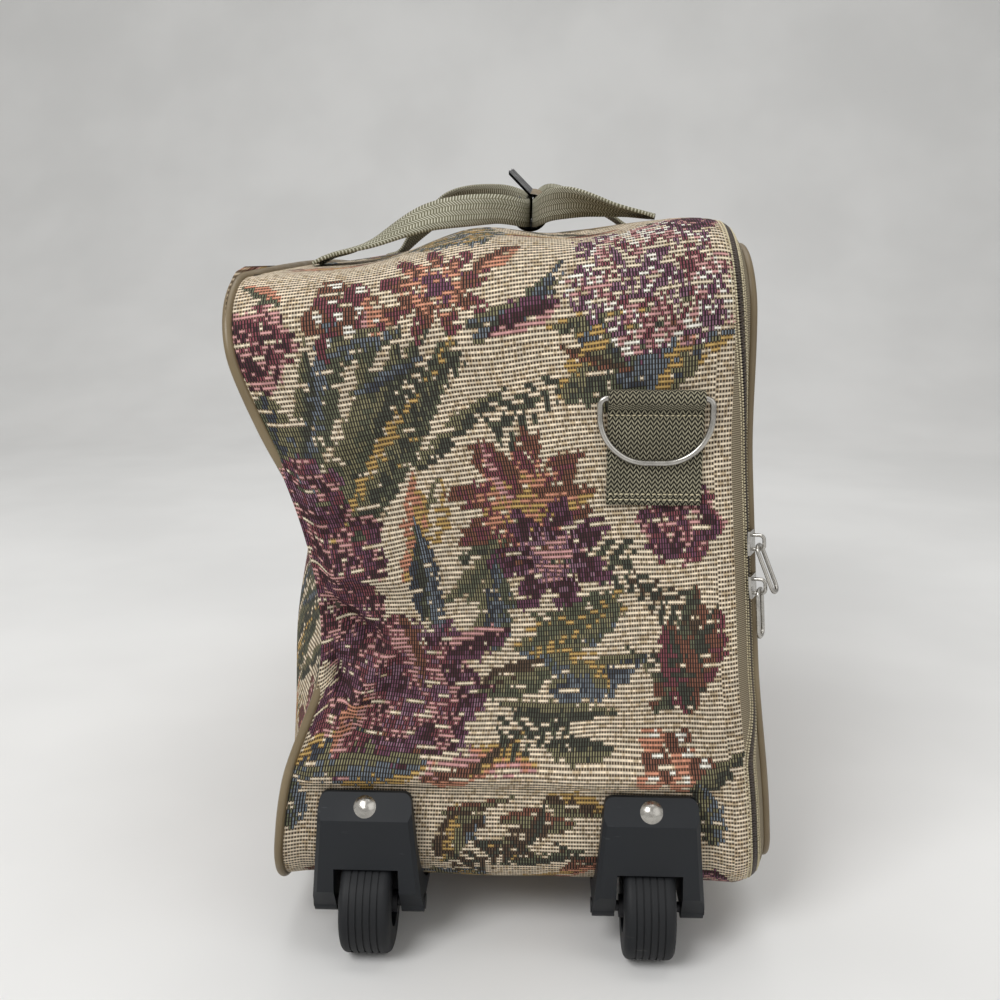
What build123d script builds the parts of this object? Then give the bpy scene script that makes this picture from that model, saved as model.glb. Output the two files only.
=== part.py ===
from build123d import *

import os
from math import acos, cos, degrees, pi, radians, sin, sqrt, tan

os.makedirs("parts", exist_ok=True)

# A soft wheeled suitcase lying on its long edge, in millimetres, with Z up.
# The wheels are at the -Y end, the pull handle at the +Y end.
# X runs from the fixed panel on the left to the zipped lid on the right.

# The whole case
overall_width = 297.0
bag_length = 540.0
ground_gap = 31.0
left_height = 357.0
right_height = 388.0
lid_lean = 4.4
wall = 4.0
bottom_corner = 38.0
top_corner = 50.0
left_crown = 6.0
middle_crown = 5.0
right_crown = 4.0
seam_rise = 72.0
overrun = 3.0
seat_gap = 0.3

# The fixed panel on the left, pulled in at mid height beside the wheels
left_flare = 8.0
wheel_end_pinch = 37.0
far_end_pinch = 12.0
panel_bulge = 5.0
pinch_rise = 183.0
pinch_blend = 70.0
piping_radius = 2.6
panel_station_shares = (-1.0, -0.5, 0.0, 0.5, 1.0)
crown_share = 0.35

# The zip that runs round the lid, over a rounded edge
zip_edge_radius = 20.0
zip_angle = 65.0
tape_thickness = 1.2
coil_radius = 1.1
coil_gap = 0.8
hinge_bead_radius = 0.6
hinge_length = 380.0
piping_set_in = 2.6

# Zip sliders and their wire pulls
slider_length = 13.0
slider_width = 10.4
slider_nose_width = 7.0
slider_plate = 1.4
slider_opening = 4.2
slider_post = 1.1
slider_post_length = 3.5
bail_wire_radius = 1.0
bail_length = 8.0
bail_reach = 6.5
bail_bend = 2.4
pull_wire_radius = 1.1
pull_width = 9.0
pull_length = 27.0
pull_bend = 3.6
pull_play = 0.15
upper_slider_place = 215.0
lower_slider_place = 190.0
upper_pull_tilt = 19.0

# Wheels, axles and their moulded housings
wheel_radius = 29.0
wheel_width = 29.0
wheel_inset = 67.5
wheel_reach = 26.0
tread_shoulder = 4.0
tread_groove_width = 0.9
tread_groove_depth = 0.7
tread_groove_count = 5
tread_groove_pitch = 4.0
rim_radius = 14.5
hub_web = 9.0
hub_boss_radius = 6.5
axle_radius = 3.0
axle_fit = 0.06
axle_head_radius = 4.4
axle_head_height = 0.8
housing_top_width = 52.0
housing_foot_width = 64.0
housing_rise = 70.0
housing_lip = 3.0
housing_depth = 11.0
housing_shoulder_rise = 56.0
housing_leg_rise = 11.0
housing_heel = 84.0
housing_flange = 3.0
housing_bevel = 2.4
housing_corner = 5.0
axle_lobe_radius = 6.0
slot_top_width = 37.0
slot_foot_width = 40.0
wheel_gap = 2.0
well_wall = 3.0

# Rivets through the mouldings and the bag
rivet_head_radius = 6.4
rivet_head_height = 2.6
rivet_shank_radius = 2.2
rivet_tail_radius = 4.0
rivet_tail_height = 1.2
rivet_drop = 7.0
rivet_front_shank = 22.0
heel_rivet_inset = 9.0

# Base board and the telescopic pull handle that lies on it
board_thickness = 4.0
board_side_gap = 6.0
board_corner = 12.0
tube_spacing = 76.0
tube_rise = 25.0
outer_tube_radius = 9.0
inner_tube_radius = 6.5
tube_wall = 1.0
outer_tube_start = 88.0
slide_fit = 0.1
bush_length = 22.0
plug_length = 18.0
inner_tube_recess = 6.0
bracket_length = 24.0
bracket_side = 6.0
bracket_cover = 3.0
rear_bracket_back = 150.0
grip_sleeve_width = 19.0
grip_bar = 12.0
grip_height = 19.0
grip_rounding = 4.0
grip_seat_gap = 1.5

# Handle socket and feet on the far end
socket_width = 128.0
socket_rise = 70.0
socket_depth = 12.0
socket_lip = 3.0
socket_heel = 84.0
socket_recess_width = 106.0
socket_recess_low = 9.0
socket_recess_high = 40.0
socket_recess_wall = 2.6
socket_corner = 6.0
foot_width = 34.0
foot_inset = 55.5
foot_rise = 56.0
foot_depth = 5.0
foot_heel = 84.0
foot_sole_length = 26.0
foot_sole_inset = 9.0
foot_rounding = 6.0

# Webbing: carry handles, their wrap, and the tabs that hold the D-rings
strap_width = 26.0
strap_thickness = 2.4
strap_fold_width = 18.0
strap_inset = 20.5
strap_spread = 128.0
strap_rise = 52.0
wrap_radius = 10.5
wrap_thickness = 2.2
wrap_length = 120.0
wrap_opening = 55.0
wrap_flap = 15.0
wrap_centre_x = 8.0
wrap_start_y = -66.0
wrap_start_rise = 397.0
wrap_end_rise = 407.0
wrap_lead = 7.0
strap_apart = 6.0
tab_width = 50.0
tab_height = 57.0
tab_thickness = 3.0
tab_inset = 71.5
tab_rise = 239.0
loop_radius = 4.6
ring_wire_radius = 1.6
ring_width = 58.5
ring_height = 34.0
ring_corner = 3.7
ring_round = 25.0
ring_fit = 0.1
ring_clear = 0.5

# Places worked out from the sizes above
half_length = bag_length / 2
near_y = -half_length
zip_foot_x = overall_width / 2 - zip_edge_radius
zip_top_x = zip_foot_x - right_height * tan(radians(lid_lean))
left_top_x = piping_radius - overall_width / 2
left_foot_x = left_top_x + left_flare
left_middle_x = (left_top_x + left_foot_x) / 2
top_slope = (right_height - left_height) / (zip_top_x - left_top_x)
axle_y = wheel_radius - half_length - wheel_reach
wheel_x = overall_width / 2 - wheel_inset
foot_x = overall_width / 2 - foot_inset
strap_span = overall_width / 2 - strap_inset
tab_centre_x = overall_width / 2 - tab_inset
tube_x = tube_spacing / 2
tube_z = ground_gap + tube_rise
socket_face_y = half_length + socket_depth
grip_end_y = half_length + wheel_reach
board_low = ground_gap + wall

zip_plane = Plane(
    origin=(zip_foot_x, 0, ground_gap),
    x_dir=(0, 1, 0),
    z_dir=(cos(radians(lid_lean)), 0, sin(radians(lid_lean))),
)


def finish(piece, name):
    """Label a finished piece and write it as its own file."""
    piece.part.label = name
    export_step(piece.part, f"parts/{name}.step")


def side_plane(x):
    """Plane across the case at x, drawn in Y and in height over the bag's underside."""
    return Plane(origin=(x, 0, ground_gap), x_dir=(0, 1, 0), z_dir=(1, 0, 0))


def end_plane(y):
    """Plane along the case at y that faces the wheel end, drawn in X and Z."""
    return Plane(origin=(0, y, 0), x_dir=(1, 0, 0), z_dir=(0, -1, 0))


def tube_plane(x, y):
    """Plane square to a handle tube, facing the far end."""
    return Plane(origin=(x, y, tube_z), x_dir=(1, 0, 0), z_dir=(0, 1, 0))


def bag_outline(sketch, height, crown, inset):
    """Rounded outline of the bag seen from the side, set in from its outer face."""
    reach = half_length - inset
    top = height - inset
    with BuildLine() as outline:
        Polyline((reach, top), (reach, inset), (-reach, inset), (-reach, top))
        ThreePointArc((-reach, top), (0, top + crown), (reach, top))
    make_face(outline.edges())
    fillet(sketch.vertices().group_by(Axis.Y)[0], bottom_corner - inset)
    fillet(sketch.vertices().group_by(Axis.Y)[-1], top_corner - inset)


def bag_form(inset, mode=Mode.ADD):
    """The bag's body, from beyond the left panel to beyond the zip."""
    crowns = (left_crown, middle_crown, right_crown)
    places = (-overall_width / 2 - overrun, 0, overall_width / 2 + overrun)
    sections = []
    for x, crown in zip(places, crowns):
        height = left_height + top_slope * (x - left_top_x)
        with BuildSketch(side_plane(x)) as section:
            bag_outline(section, height, crown, inset)
        sections.append(section.sketch.face())
    loft(sections, mode=mode)


def blend_arc(points):
    """Radius that rounds the middle of three points over the pinch blend length."""
    first = Vector(*points[1]) - Vector(*points[0])
    second = Vector(*points[2]) - Vector(*points[1])
    return pinch_blend / tan(radians(first.get_angle(second)) / 2)


def panel_edge(pull_in):
    """X and Z of the left panel's foot, middle and top where it is pulled in so far."""
    middle = left_middle_x + pull_in
    top = ground_gap + left_height + left_crown + overrun
    return [(left_foot_x, ground_gap - overrun), (middle, ground_gap + pinch_rise), (left_top_x, top)]


def panel_room(shift, mode=Mode.ADD):
    """Everything to the right of the left panel's face, the face moved in by shift."""
    pulls = (wheel_end_pinch, -panel_bulge, -panel_bulge, -panel_bulge, far_end_pinch)
    sections = []
    for share, pull in zip(panel_station_shares, pulls):
        points = [(x + shift, z) for x, z in panel_edge(pull)]
        with BuildSketch(end_plane(share * (half_length + overrun))) as section:
            with BuildLine():
                FilletPolyline(*points, radius=blend_arc(points))
                Polyline(
                    points[2],
                    (points[2][0], ground_gap + 2 * right_height),
                    (overall_width, ground_gap + 2 * right_height),
                    (overall_width, points[0][1]),
                    points[0],
                )
            make_face()
        sections.append(section.sketch.face())
    loft(sections, mode=mode)


def arc_band(start, end):
    """Strip of zip tape over the rounded edge, between two angles, on the rim's plane."""
    with BuildLine() as band:
        outer = CenterArc((-zip_edge_radius, 0), zip_edge_radius, start, end - start)
        inner = CenterArc((-zip_edge_radius, 0), zip_edge_radius - tape_thickness, start, end - start)
        Line(outer @ 0, inner @ 0)
        Line(outer @ 1, inner @ 1)
    make_face(band.edges())


def rim_point(angle):
    """Middle of the zip tape at an angle over the rounded edge, on the rim's plane."""
    reach = zip_edge_radius - tape_thickness / 2
    return (reach * cos(radians(angle)) - zip_edge_radius, reach * sin(radians(angle)))


# Outline of the bag where the zip starts, and the plane that its sections are drawn on
with BuildSketch(zip_plane) as rim:
    bag_outline(rim, right_height / cos(radians(lid_lean)), right_crown, 0)
rim_path = rim.sketch.face().outer_wire()
rim_start = rim_path @ 0
rim_out = (rim_path % 0).cross(zip_plane.z_dir)
if rim_out.dot(rim_start - rim.sketch.center()) < 0:
    rim_out = -rim_out
rim_plane = Plane(origin=rim_start, x_dir=rim_out, z_dir=rim_out.cross(zip_plane.z_dir))

coil_angle = degrees((coil_gap + coil_radius) / (zip_edge_radius - tape_thickness / 2))

# Profile of the bag that the mouldings on its corners are cut to
with BuildSketch() as bag_profile:
    bag_outline(bag_profile, left_height, left_crown, -seat_gap)

# Piping round the left panel, in a wheel-end half and a far half
edge_top = ground_gap + left_height
edge_middle = ground_gap + pinch_rise
with BuildPart() as left_piping:
    for end, pull in ((-1, wheel_end_pinch), (1, far_end_pinch)):
        foot = (left_foot_x, end * half_length, ground_gap)
        pinched = (left_middle_x + pull, end * half_length, edge_middle)
        top = (left_top_x, end * half_length, edge_top)
        crown = (left_top_x, end * crown_share * half_length, edge_top + left_crown)
        radii = [
            bottom_corner,
            blend_arc([foot, pinched, top]),
            top_corner,
            blend_arc([top, crown, (left_top_x, 0, edge_top + left_crown)]),
        ]
        with BuildLine() as piping_path:
            FilletPolyline(
                (left_foot_x, 0, ground_gap),
                foot,
                pinched,
                top,
                crown,
                (left_top_x, 0, edge_top + left_crown),
                radius=radii,
            )
        piping_wire = piping_path.wire()
        with BuildSketch(Plane(origin=piping_wire @ 0, z_dir=piping_wire % 0)):
            Circle(piping_radius)
        sweep(path=piping_wire)
finish(left_piping, "left_piping")

with BuildPart() as bag_body:
    bag_form(0)
with BuildPart() as panel_place:
    bag_form(wall + seat_gap)
with BuildPart() as left_panel:
    panel_room(0)
    panel_room(wall, mode=Mode.SUBTRACT)
    add(panel_place.part, mode=Mode.INTERSECT)
finish(left_panel, "left_panel")

# The gusset: wheel end, top and far end over the seam, and the tray below it
with BuildPart() as bag_wall:
    add(bag_body.part)
    bag_form(wall, mode=Mode.SUBTRACT)
    panel_room(piping_radius / 2, mode=Mode.INTERSECT)
    add(left_piping.part, mode=Mode.SUBTRACT)
    split(bisect_by=zip_plane, keep=Keep.BOTTOM)

seam_plane = Plane.XY.offset(ground_gap + seam_rise)
with BuildPart() as gusset:
    add(bag_wall.part)
    split(bisect_by=seam_plane, keep=Keep.TOP)
finish(gusset, "gusset")

# Places of the rivets: the plane each head sits on, and what it grips
face_drop = (housing_rise - housing_shoulder_rise, housing_depth - housing_lip)
face_slope = Vector(0, -face_drop[0], face_drop[1]).normalized()
rivet_height = ground_gap + housing_rise - rivet_drop
rivet_face_y = near_y - housing_lip - rivet_drop * face_drop[1] / face_drop[0]
heel_rivet_y = near_y + housing_heel - heel_rivet_inset
rivet_seats = []
for x in (-wheel_x, wheel_x):
    rivet_seats.append(Plane(origin=(x, rivet_face_y, rivet_height), x_dir=(1, 0, 0), z_dir=face_slope))
    for y in (heel_rivet_y, -heel_rivet_y):
        spread = x if y < 0 else x / abs(x) * foot_x
        heel_seat = (spread, y, ground_gap - housing_flange)
        rivet_seats.append(Plane(origin=heel_seat, x_dir=(1, 0, 0), z_dir=(0, 0, -1)))


heel_grip = housing_flange + wall + board_thickness


def rivet_holes():
    """Cut every rivet's hole through the piece that is open."""
    for seat in rivet_seats:
        with BuildSketch(seat) as hole:
            Circle(rivet_shank_radius)
        extrude(hole.sketch, amount=-heel_grip - rivet_front_shank, mode=Mode.SUBTRACT)


with BuildPart() as rivets:
    for seat in rivet_seats:
        shank_end = [(0, -rivet_front_shank), (rivet_shank_radius, -rivet_front_shank)]
        if seat.z_dir.Z < 0:
            shank_end = [
                (0, -heel_grip - rivet_tail_height),
                (rivet_tail_radius, -heel_grip - rivet_tail_height),
                (rivet_tail_radius, -heel_grip),
                (rivet_shank_radius, -heel_grip),
            ]
        dome = (rivet_head_radius**2 + rivet_head_height**2) / (2 * rivet_head_height)
        crown_angle = acos(1 - rivet_head_height / dome) / 2
        dome_middle = (dome * sin(crown_angle), rivet_head_height - dome * (1 - cos(crown_angle)))
        with BuildSketch(Plane(origin=seat.origin, x_dir=seat.x_dir, z_dir=-seat.y_dir)):
            with BuildLine():
                under_head = [(rivet_shank_radius, 0), (rivet_head_radius, 0)]
                Polyline((0, rivet_head_height), *shank_end, *under_head)
                ThreePointArc((rivet_head_radius, 0), dome_middle, (0, rivet_head_height))
            make_face()
        revolve(axis=Axis(seat.origin, seat.z_dir))
finish(rivets, "rivets")

well_radius = wheel_radius + wheel_gap
axle_height = wheel_radius - ground_gap


def well_block(x, grow, mode):
    """Block round a wheel's well that sinks into the bag, grown by a gap."""
    width = slot_foot_width + 2 * (well_wall + grow)
    with BuildSketch(side_plane(x - width / 2)) as block:
        with Locations((axle_y, axle_height)):
            Circle(well_radius + well_wall + grow)
    extrude(block.sketch, amount=width, mode=mode)


with BuildPart() as tray:
    add(bag_wall.part)
    split(bisect_by=seam_plane, keep=Keep.BOTTOM)
    rivet_holes()
    for x in (-wheel_x, wheel_x):
        well_block(x, seat_gap, Mode.SUBTRACT)
    for x in (-tube_x, tube_x):
        with BuildSketch(tube_plane(x, 0)):
            Circle(outer_tube_radius + seat_gap)
        extrude(amount=bag_length, mode=Mode.SUBTRACT)
finish(tray, "tray")

# The zip's two halves, parted along the line that the lid opens on
with BuildPart() as body_zip:
    with BuildSketch(rim_plane):
        arc_band(0, zip_angle - coil_angle)
        with Locations(rim_point(zip_angle - coil_angle)):
            Circle(coil_radius)
    sweep(path=rim_path)
finish(body_zip, "body_zip")

hinge_point = rim_point(zip_angle)
with BuildPart() as lid_zip:
    with BuildSketch(rim_plane):
        arc_band(zip_angle + coil_angle, 90)
        with Locations(rim_point(zip_angle + coil_angle)):
            Circle(coil_radius)
    sweep(path=rim_path)
    with BuildSketch(Plane(zip_plane.origin, x_dir=-zip_plane.y_dir, z_dir=(0, -1, 0))):
        with Locations(hinge_point):
            Circle(hinge_bead_radius)
        with BuildLine():
            Line(hinge_point, rim_point(zip_angle + coil_angle))
        trace(line_width=2 * hinge_bead_radius)
    extrude(amount=hinge_length / 2, both=True)
finish(lid_zip, "lid_zip")

with BuildPart() as lid_piping:
    with BuildSketch(rim_plane):
        with Locations((-zip_edge_radius - piping_set_in, zip_edge_radius - piping_set_in / 2)):
            Circle(piping_radius)
    sweep(path=rim_path)
finish(lid_piping, "lid_piping")

with BuildPart() as lid_panel:
    with BuildSketch(zip_plane.offset(zip_edge_radius - wall)) as lid_outline:
        lid_inset = zip_edge_radius + piping_set_in + piping_radius + seat_gap
        bag_outline(lid_outline, right_height / cos(radians(lid_lean)), right_crown, lid_inset)
    extrude(amount=wall)
finish(lid_panel, "lid_panel")

# Sliders, on the straight of the zip at the wheel end
slider_n, slider_w = rim_point(zip_angle)
slider_out = Vector(0, -cos(radians(zip_angle)), 0) + zip_plane.z_dir * sin(radians(zip_angle))


def slider_plane(place):
    """Plane of a slider on the zip line, so far up from the bag's underside, facing out."""
    origin = zip_plane.from_local_coords((-half_length - slider_n, place, slider_w))
    return Plane(origin=origin, x_dir=zip_plane.y_dir.cross(slider_out), z_dir=slider_out)


def slider_outline(nose):
    """Shield outline of a slider, wide at the end where the tapes part."""
    with BuildLine() as shield:
        Polyline(
            (-slider_width / 2, -nose * slider_length / 2),
            (slider_width / 2, -nose * slider_length / 2),
            (slider_width / 2, 0),
            (slider_nose_width / 2, nose * slider_length / 2),
            (-slider_nose_width / 2, nose * slider_length / 2),
            (-slider_width / 2, 0),
            close=True,
        )
    make_face(shield.edges())


bail_seat = slider_opening / 2 + slider_plate
pull_pivot = (bail_wire_radius + pull_wire_radius + pull_play - bail_length / 2, bail_seat + bail_reach / 2)
for name, place, nose, tilt in (
    ("upper", upper_slider_place, 1, upper_pull_tilt),
    ("lower", lower_slider_place, -1, 0),
):
    base = slider_plane(place)
    with BuildPart() as slider:
        for low in (slider_opening / 2, -bail_seat):
            with BuildSketch(base.offset(low)):
                slider_outline(nose)
            extrude(amount=slider_plate)
        post_place = nose * (slider_post_length - slider_length) / 2
        with BuildSketch(base.offset(-bail_seat)):
            with Locations((0, post_place)):
                Rectangle(slider_post, slider_post_length)
        extrude(amount=2 * bail_seat)
        with BuildLine(Plane(base.origin, x_dir=base.y_dir, z_dir=base.x_dir)) as bail_path:
            FilletPolyline(
                (-bail_length / 2, bail_seat - slider_plate / 2),
                (-bail_length / 2, bail_seat + bail_reach),
                (bail_length / 2, bail_seat + bail_reach),
                (bail_length / 2, bail_seat - slider_plate / 2),
                radius=bail_bend,
            )
        bail_wire = bail_path.wire()
        with BuildSketch(Plane(origin=bail_wire @ 0, z_dir=bail_wire % 0)):
            Circle(bail_wire_radius)
        sweep(path=bail_wire)
    finish(slider, f"{name}_slider")

    pivot = base.from_local_coords((0, *pull_pivot))
    hang = base.y_dir * -cos(radians(tilt)) + base.z_dir * sin(radians(tilt))
    pull_plane = Plane(origin=pivot, x_dir=base.x_dir, z_dir=base.x_dir.cross(-hang))
    with BuildPart() as pull:
        with BuildLine(pull_plane) as pull_path:
            FilletPolyline(
                (-pull_width / 2, 0),
                (pull_width / 2, 0),
                (pull_width / 2, -pull_length),
                (-pull_width / 2, -pull_length),
                radius=pull_bend,
                close=True,
            )
        pull_wire = pull_path.wire()
        with BuildSketch(Plane(origin=pull_wire @ 0, z_dir=pull_wire % 0)):
            Circle(pull_wire_radius)
        sweep(path=pull_wire)
    finish(pull, f"{name}_pull")


# Wheel housings, wheels and axles, one set on each side
def axle_plane(x):
    """Plane through a wheel's middle, drawn along the axle and away from it."""
    return Plane(origin=(x, axle_y, wheel_radius), x_dir=(1, 0, 0), z_dir=(0, -1, 0))


for side, x in (("left", -wheel_x), ("right", wheel_x)):
    wheel_axis = Axis((x, axle_y, wheel_radius), (1, 0, 0))
    with BuildPart() as wheel_well:
        with BuildSketch(side_plane(x - slot_foot_width / 2)):
            with Locations((axle_y, axle_height)):
                Circle(well_radius)
                Rectangle(2 * well_radius, 2 * well_radius, align=(Align.CENTER, Align.MAX))
        extrude(amount=slot_foot_width)
        with BuildSketch(end_plane(axle_y)) as slot:
            slot_top = wheel_radius + well_radius
            with BuildLine():
                Polyline(
                    (x - slot_foot_width / 2, -ground_gap),
                    (x - slot_top_width / 2, slot_top),
                    (x + slot_top_width / 2, slot_top),
                    (x + slot_foot_width / 2, -ground_gap),
                    close=True,
                )
            make_face()
        extrude(amount=2 * well_radius, both=True, mode=Mode.INTERSECT)

    with BuildPart() as well_shell:
        well_block(x, 0, Mode.ADD)
        with BuildSketch(side_plane(x - housing_foot_width / 2)):
            add(bag_profile.sketch)
        extrude(amount=housing_foot_width, mode=Mode.INTERSECT)

    with BuildPart() as housing:
        with BuildSketch(side_plane(x - housing_foot_width / 2)):
            face_y = near_y - housing_depth
            with BuildLine():
                Polyline(
                    (near_y + housing_heel, -housing_flange),
                    (near_y + housing_heel, housing_rise + overrun),
                    (near_y - housing_lip, housing_rise + overrun),
                    (near_y - housing_lip, housing_rise),
                    (face_y, housing_shoulder_rise),
                    (face_y, housing_leg_rise),
                    (axle_y - axle_lobe_radius, axle_height),
                    (axle_y + axle_lobe_radius, axle_height),
                    (axle_y + housing_heel / 2, -housing_flange),
                    close=True,
                )
            make_face()
            with Locations((axle_y, axle_height)):
                Circle(axle_lobe_radius)
            add(bag_profile.sketch, mode=Mode.SUBTRACT)
        extrude(amount=housing_foot_width)
        with BuildSketch(end_plane(near_y)) as front:
            with BuildLine():
                Polyline(
                    (x - housing_foot_width / 2, 0),
                    (x - housing_foot_width / 2, ground_gap),
                    (x - housing_top_width / 2, ground_gap + housing_rise),
                    (x + housing_top_width / 2, ground_gap + housing_rise),
                    (x + housing_foot_width / 2, ground_gap),
                    (x + housing_foot_width / 2, 0),
                    close=True,
                )
            make_face()
            fillet(front.vertices().group_by(Axis.Y)[-1], housing_corner)
        extrude(amount=bag_length, both=True, mode=Mode.INTERSECT)
        front_face = housing.faces().filter_by(Axis.Y).sort_by(Axis.Y)[0]
        outer_edges = front_face.edges().filter_by(Axis.Y, reverse=True).sort_by(Axis.X)
        chamfer([outer_edges[0], outer_edges[-1]], housing_bevel)
        add(well_shell.part)
        add(wheel_well.part, mode=Mode.SUBTRACT)
        with BuildSketch(side_plane(x - housing_foot_width / 2)):
            with Locations((axle_y, axle_height)):
                Circle(axle_radius)
        extrude(amount=housing_foot_width, mode=Mode.SUBTRACT)
        rivet_holes()
    finish(housing, f"{side}_housing")

    with BuildPart() as axle:
        with BuildSketch(axle_plane(x)):
            with BuildLine():
                Polyline(
                    (-housing_foot_width / 2 - axle_head_height, 0),
                    (-housing_foot_width / 2 - axle_head_height, axle_head_radius),
                    (-housing_foot_width / 2, axle_head_radius),
                    (-housing_foot_width / 2, axle_radius),
                    (housing_foot_width / 2, axle_radius),
                    (housing_foot_width / 2, axle_head_radius),
                    (housing_foot_width / 2 + axle_head_height, axle_head_radius),
                    (housing_foot_width / 2 + axle_head_height, 0),
                    close=True,
                )
            make_face()
        revolve(axis=wheel_axis)
    finish(axle, f"{side}_axle")

    with BuildPart() as tyre:
        with BuildSketch(axle_plane(x)) as tread:
            with Locations((0, rim_radius)):
                Rectangle(wheel_width, wheel_radius - rim_radius, align=(Align.CENTER, Align.MIN))
            fillet(tread.vertices().group_by(Axis.Y)[-1], tread_shoulder)
            with Locations((0, wheel_radius)):
                with GridLocations(tread_groove_pitch, 0, tread_groove_count, 1):
                    Rectangle(tread_groove_width, 2 * tread_groove_depth, mode=Mode.SUBTRACT)
        revolve(axis=wheel_axis)
    finish(tyre, f"{side}_tyre")

    with BuildPart() as hub:
        boss_half = slot_top_width / 2 - wheel_gap
        with BuildSketch(axle_plane(x)):
            bore = axle_radius + axle_fit
            with BuildLine():
                Polyline(
                    (-boss_half, bore),
                    (-boss_half, hub_boss_radius),
                    (-hub_web / 2, hub_boss_radius),
                    (-hub_web / 2, rim_radius),
                    (hub_web / 2, rim_radius),
                    (hub_web / 2, hub_boss_radius),
                    (boss_half, hub_boss_radius),
                    (boss_half, bore),
                    close=True,
                )
            make_face()
        revolve(axis=wheel_axis)
    finish(hub, f"{side}_hub")

# Base board, tubes, bushes and the pull handle
with BuildPart() as base_board:
    with BuildSketch(Plane.XY.offset(board_low)) as board_outline:
        board_left = left_foot_x + wall + board_side_gap
        board_right = zip_foot_x - board_side_gap
        with Locations(((board_left + board_right) / 2, 0)):
            Rectangle(board_right - board_left, bag_length - 2 * bottom_corner)
        fillet(board_outline.vertices(), board_corner)
    extrude(amount=board_thickness)
    rivet_holes()
finish(base_board, "base_board")

recess_floor_y = half_length - bottom_corner + socket_recess_wall + sqrt(
    bottom_corner**2 - (bottom_corner - socket_recess_high) ** 2
)
tube_start_y = near_y + outer_tube_start
inner_start_y = tube_start_y + inner_tube_recess
inner_end_y = grip_end_y - grip_bar
bush_start_y = recess_floor_y - bush_length
for side, x in (("left", -tube_x), ("right", tube_x)):
    with BuildPart() as outer_tube:
        with BuildSketch(tube_plane(x, tube_start_y)):
            Circle(outer_tube_radius)
            Circle(outer_tube_radius - tube_wall, mode=Mode.SUBTRACT)
        extrude(amount=recess_floor_y - tube_start_y)
    finish(outer_tube, f"{side}_outer_tube")

    with BuildPart() as guide_bush:
        with BuildSketch(tube_plane(x, bush_start_y)):
            Circle(outer_tube_radius - tube_wall)
            Circle(inner_tube_radius + slide_fit, mode=Mode.SUBTRACT)
        extrude(amount=bush_length)
    finish(guide_bush, f"{side}_guide_bush")

    with BuildPart() as inner_tube:
        with BuildSketch(tube_plane(x, inner_start_y)):
            Circle(inner_tube_radius)
            Circle(inner_tube_radius - tube_wall, mode=Mode.SUBTRACT)
        extrude(amount=inner_end_y - inner_start_y)
    finish(inner_tube, f"{side}_inner_tube")

    with BuildPart() as slide_plug:
        with BuildSketch(tube_plane(x, inner_start_y)):
            Circle(outer_tube_radius - tube_wall - slide_fit)
            Circle(inner_tube_radius, mode=Mode.SUBTRACT)
        extrude(amount=plug_length)
    finish(slide_plug, f"{side}_slide_plug")

bracket_width = tube_spacing + 2 * (outer_tube_radius + bracket_side)
bracket_low = board_low + board_thickness
for name, y in (("front_bracket", tube_start_y), ("rear_bracket", half_length - rear_bracket_back)):
    with BuildPart() as bracket:
        with BuildSketch(tube_plane(0, y)) as bracket_face:
            bracket_top = outer_tube_radius + bracket_cover
            bracket_foot = tube_z - bracket_low
            Rectangle(bracket_width, bracket_foot, align=(Align.CENTER, Align.MIN))
            Rectangle(bracket_width, bracket_top, align=(Align.CENTER, Align.MAX))
            fillet(bracket_face.vertices().group_by(Axis.Y)[0], bracket_side)
            with GridLocations(tube_spacing, 0, 2, 1):
                Circle(outer_tube_radius, mode=Mode.SUBTRACT)
        extrude(amount=bracket_length)
    finish(bracket, name)

grip_width = tube_spacing + grip_sleeve_width
grip_start_y = recess_floor_y + grip_seat_gap
with BuildPart() as grip:
    with BuildSketch(Plane.XY.offset(tube_z)) as grip_plan:
        with Locations((0, grip_end_y)):
            Rectangle(grip_width, grip_end_y - grip_start_y, align=(Align.CENTER, Align.MAX))
        with Locations((0, inner_end_y)):
            finger_room = tube_spacing - grip_sleeve_width
            Rectangle(finger_room, bag_length, align=(Align.CENTER, Align.MAX), mode=Mode.SUBTRACT)
        fillet(grip_plan.vertices().group_by(Axis.Y)[-1], grip_rounding)
    extrude(amount=grip_height / 2, both=True)
    fillet(grip.faces().sort_by(Axis.Y)[-1].edges(), grip_rounding / 2)
    for x in (-tube_x, tube_x):
        with BuildSketch(tube_plane(x, grip_start_y)):
            Circle(inner_tube_radius)
        extrude(amount=inner_end_y - grip_start_y, mode=Mode.SUBTRACT)
finish(grip, "grip")

with BuildPart() as handle_socket:
    with BuildSketch(side_plane(-socket_width / 2)):
        with BuildLine():
            Polyline(
                (half_length - socket_heel, -housing_flange),
                (half_length - socket_heel, socket_rise),
                (half_length + socket_lip, socket_rise),
                (socket_face_y, socket_rise - socket_depth),
                (socket_face_y, socket_recess_low / 2),
                (half_length - bottom_corner / 2, -housing_flange),
                close=True,
            )
        make_face()
        add(bag_profile.sketch, mode=Mode.SUBTRACT)
    extrude(amount=socket_width)
    side_edges = handle_socket.edges().filter_by(Axis.Y, reverse=True).filter_by(Axis.X, reverse=True)
    fillet(side_edges.sort_by(Axis.Y)[-2:], socket_corner)
    with BuildSketch(Plane.XZ.offset(-recess_floor_y)) as recess:
        with Locations((0, ground_gap + socket_recess_low)):
            recess_height = socket_recess_high - socket_recess_low
            Rectangle(socket_recess_width, recess_height, align=(Align.CENTER, Align.MIN))
        fillet(recess.vertices(), socket_corner)
    extrude(amount=-bag_length, mode=Mode.SUBTRACT)
    for x in (-tube_x, tube_x):
        with BuildSketch(tube_plane(x, 0)):
            Circle(outer_tube_radius)
        extrude(amount=bag_length, mode=Mode.SUBTRACT)
finish(handle_socket, "handle_socket")

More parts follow.
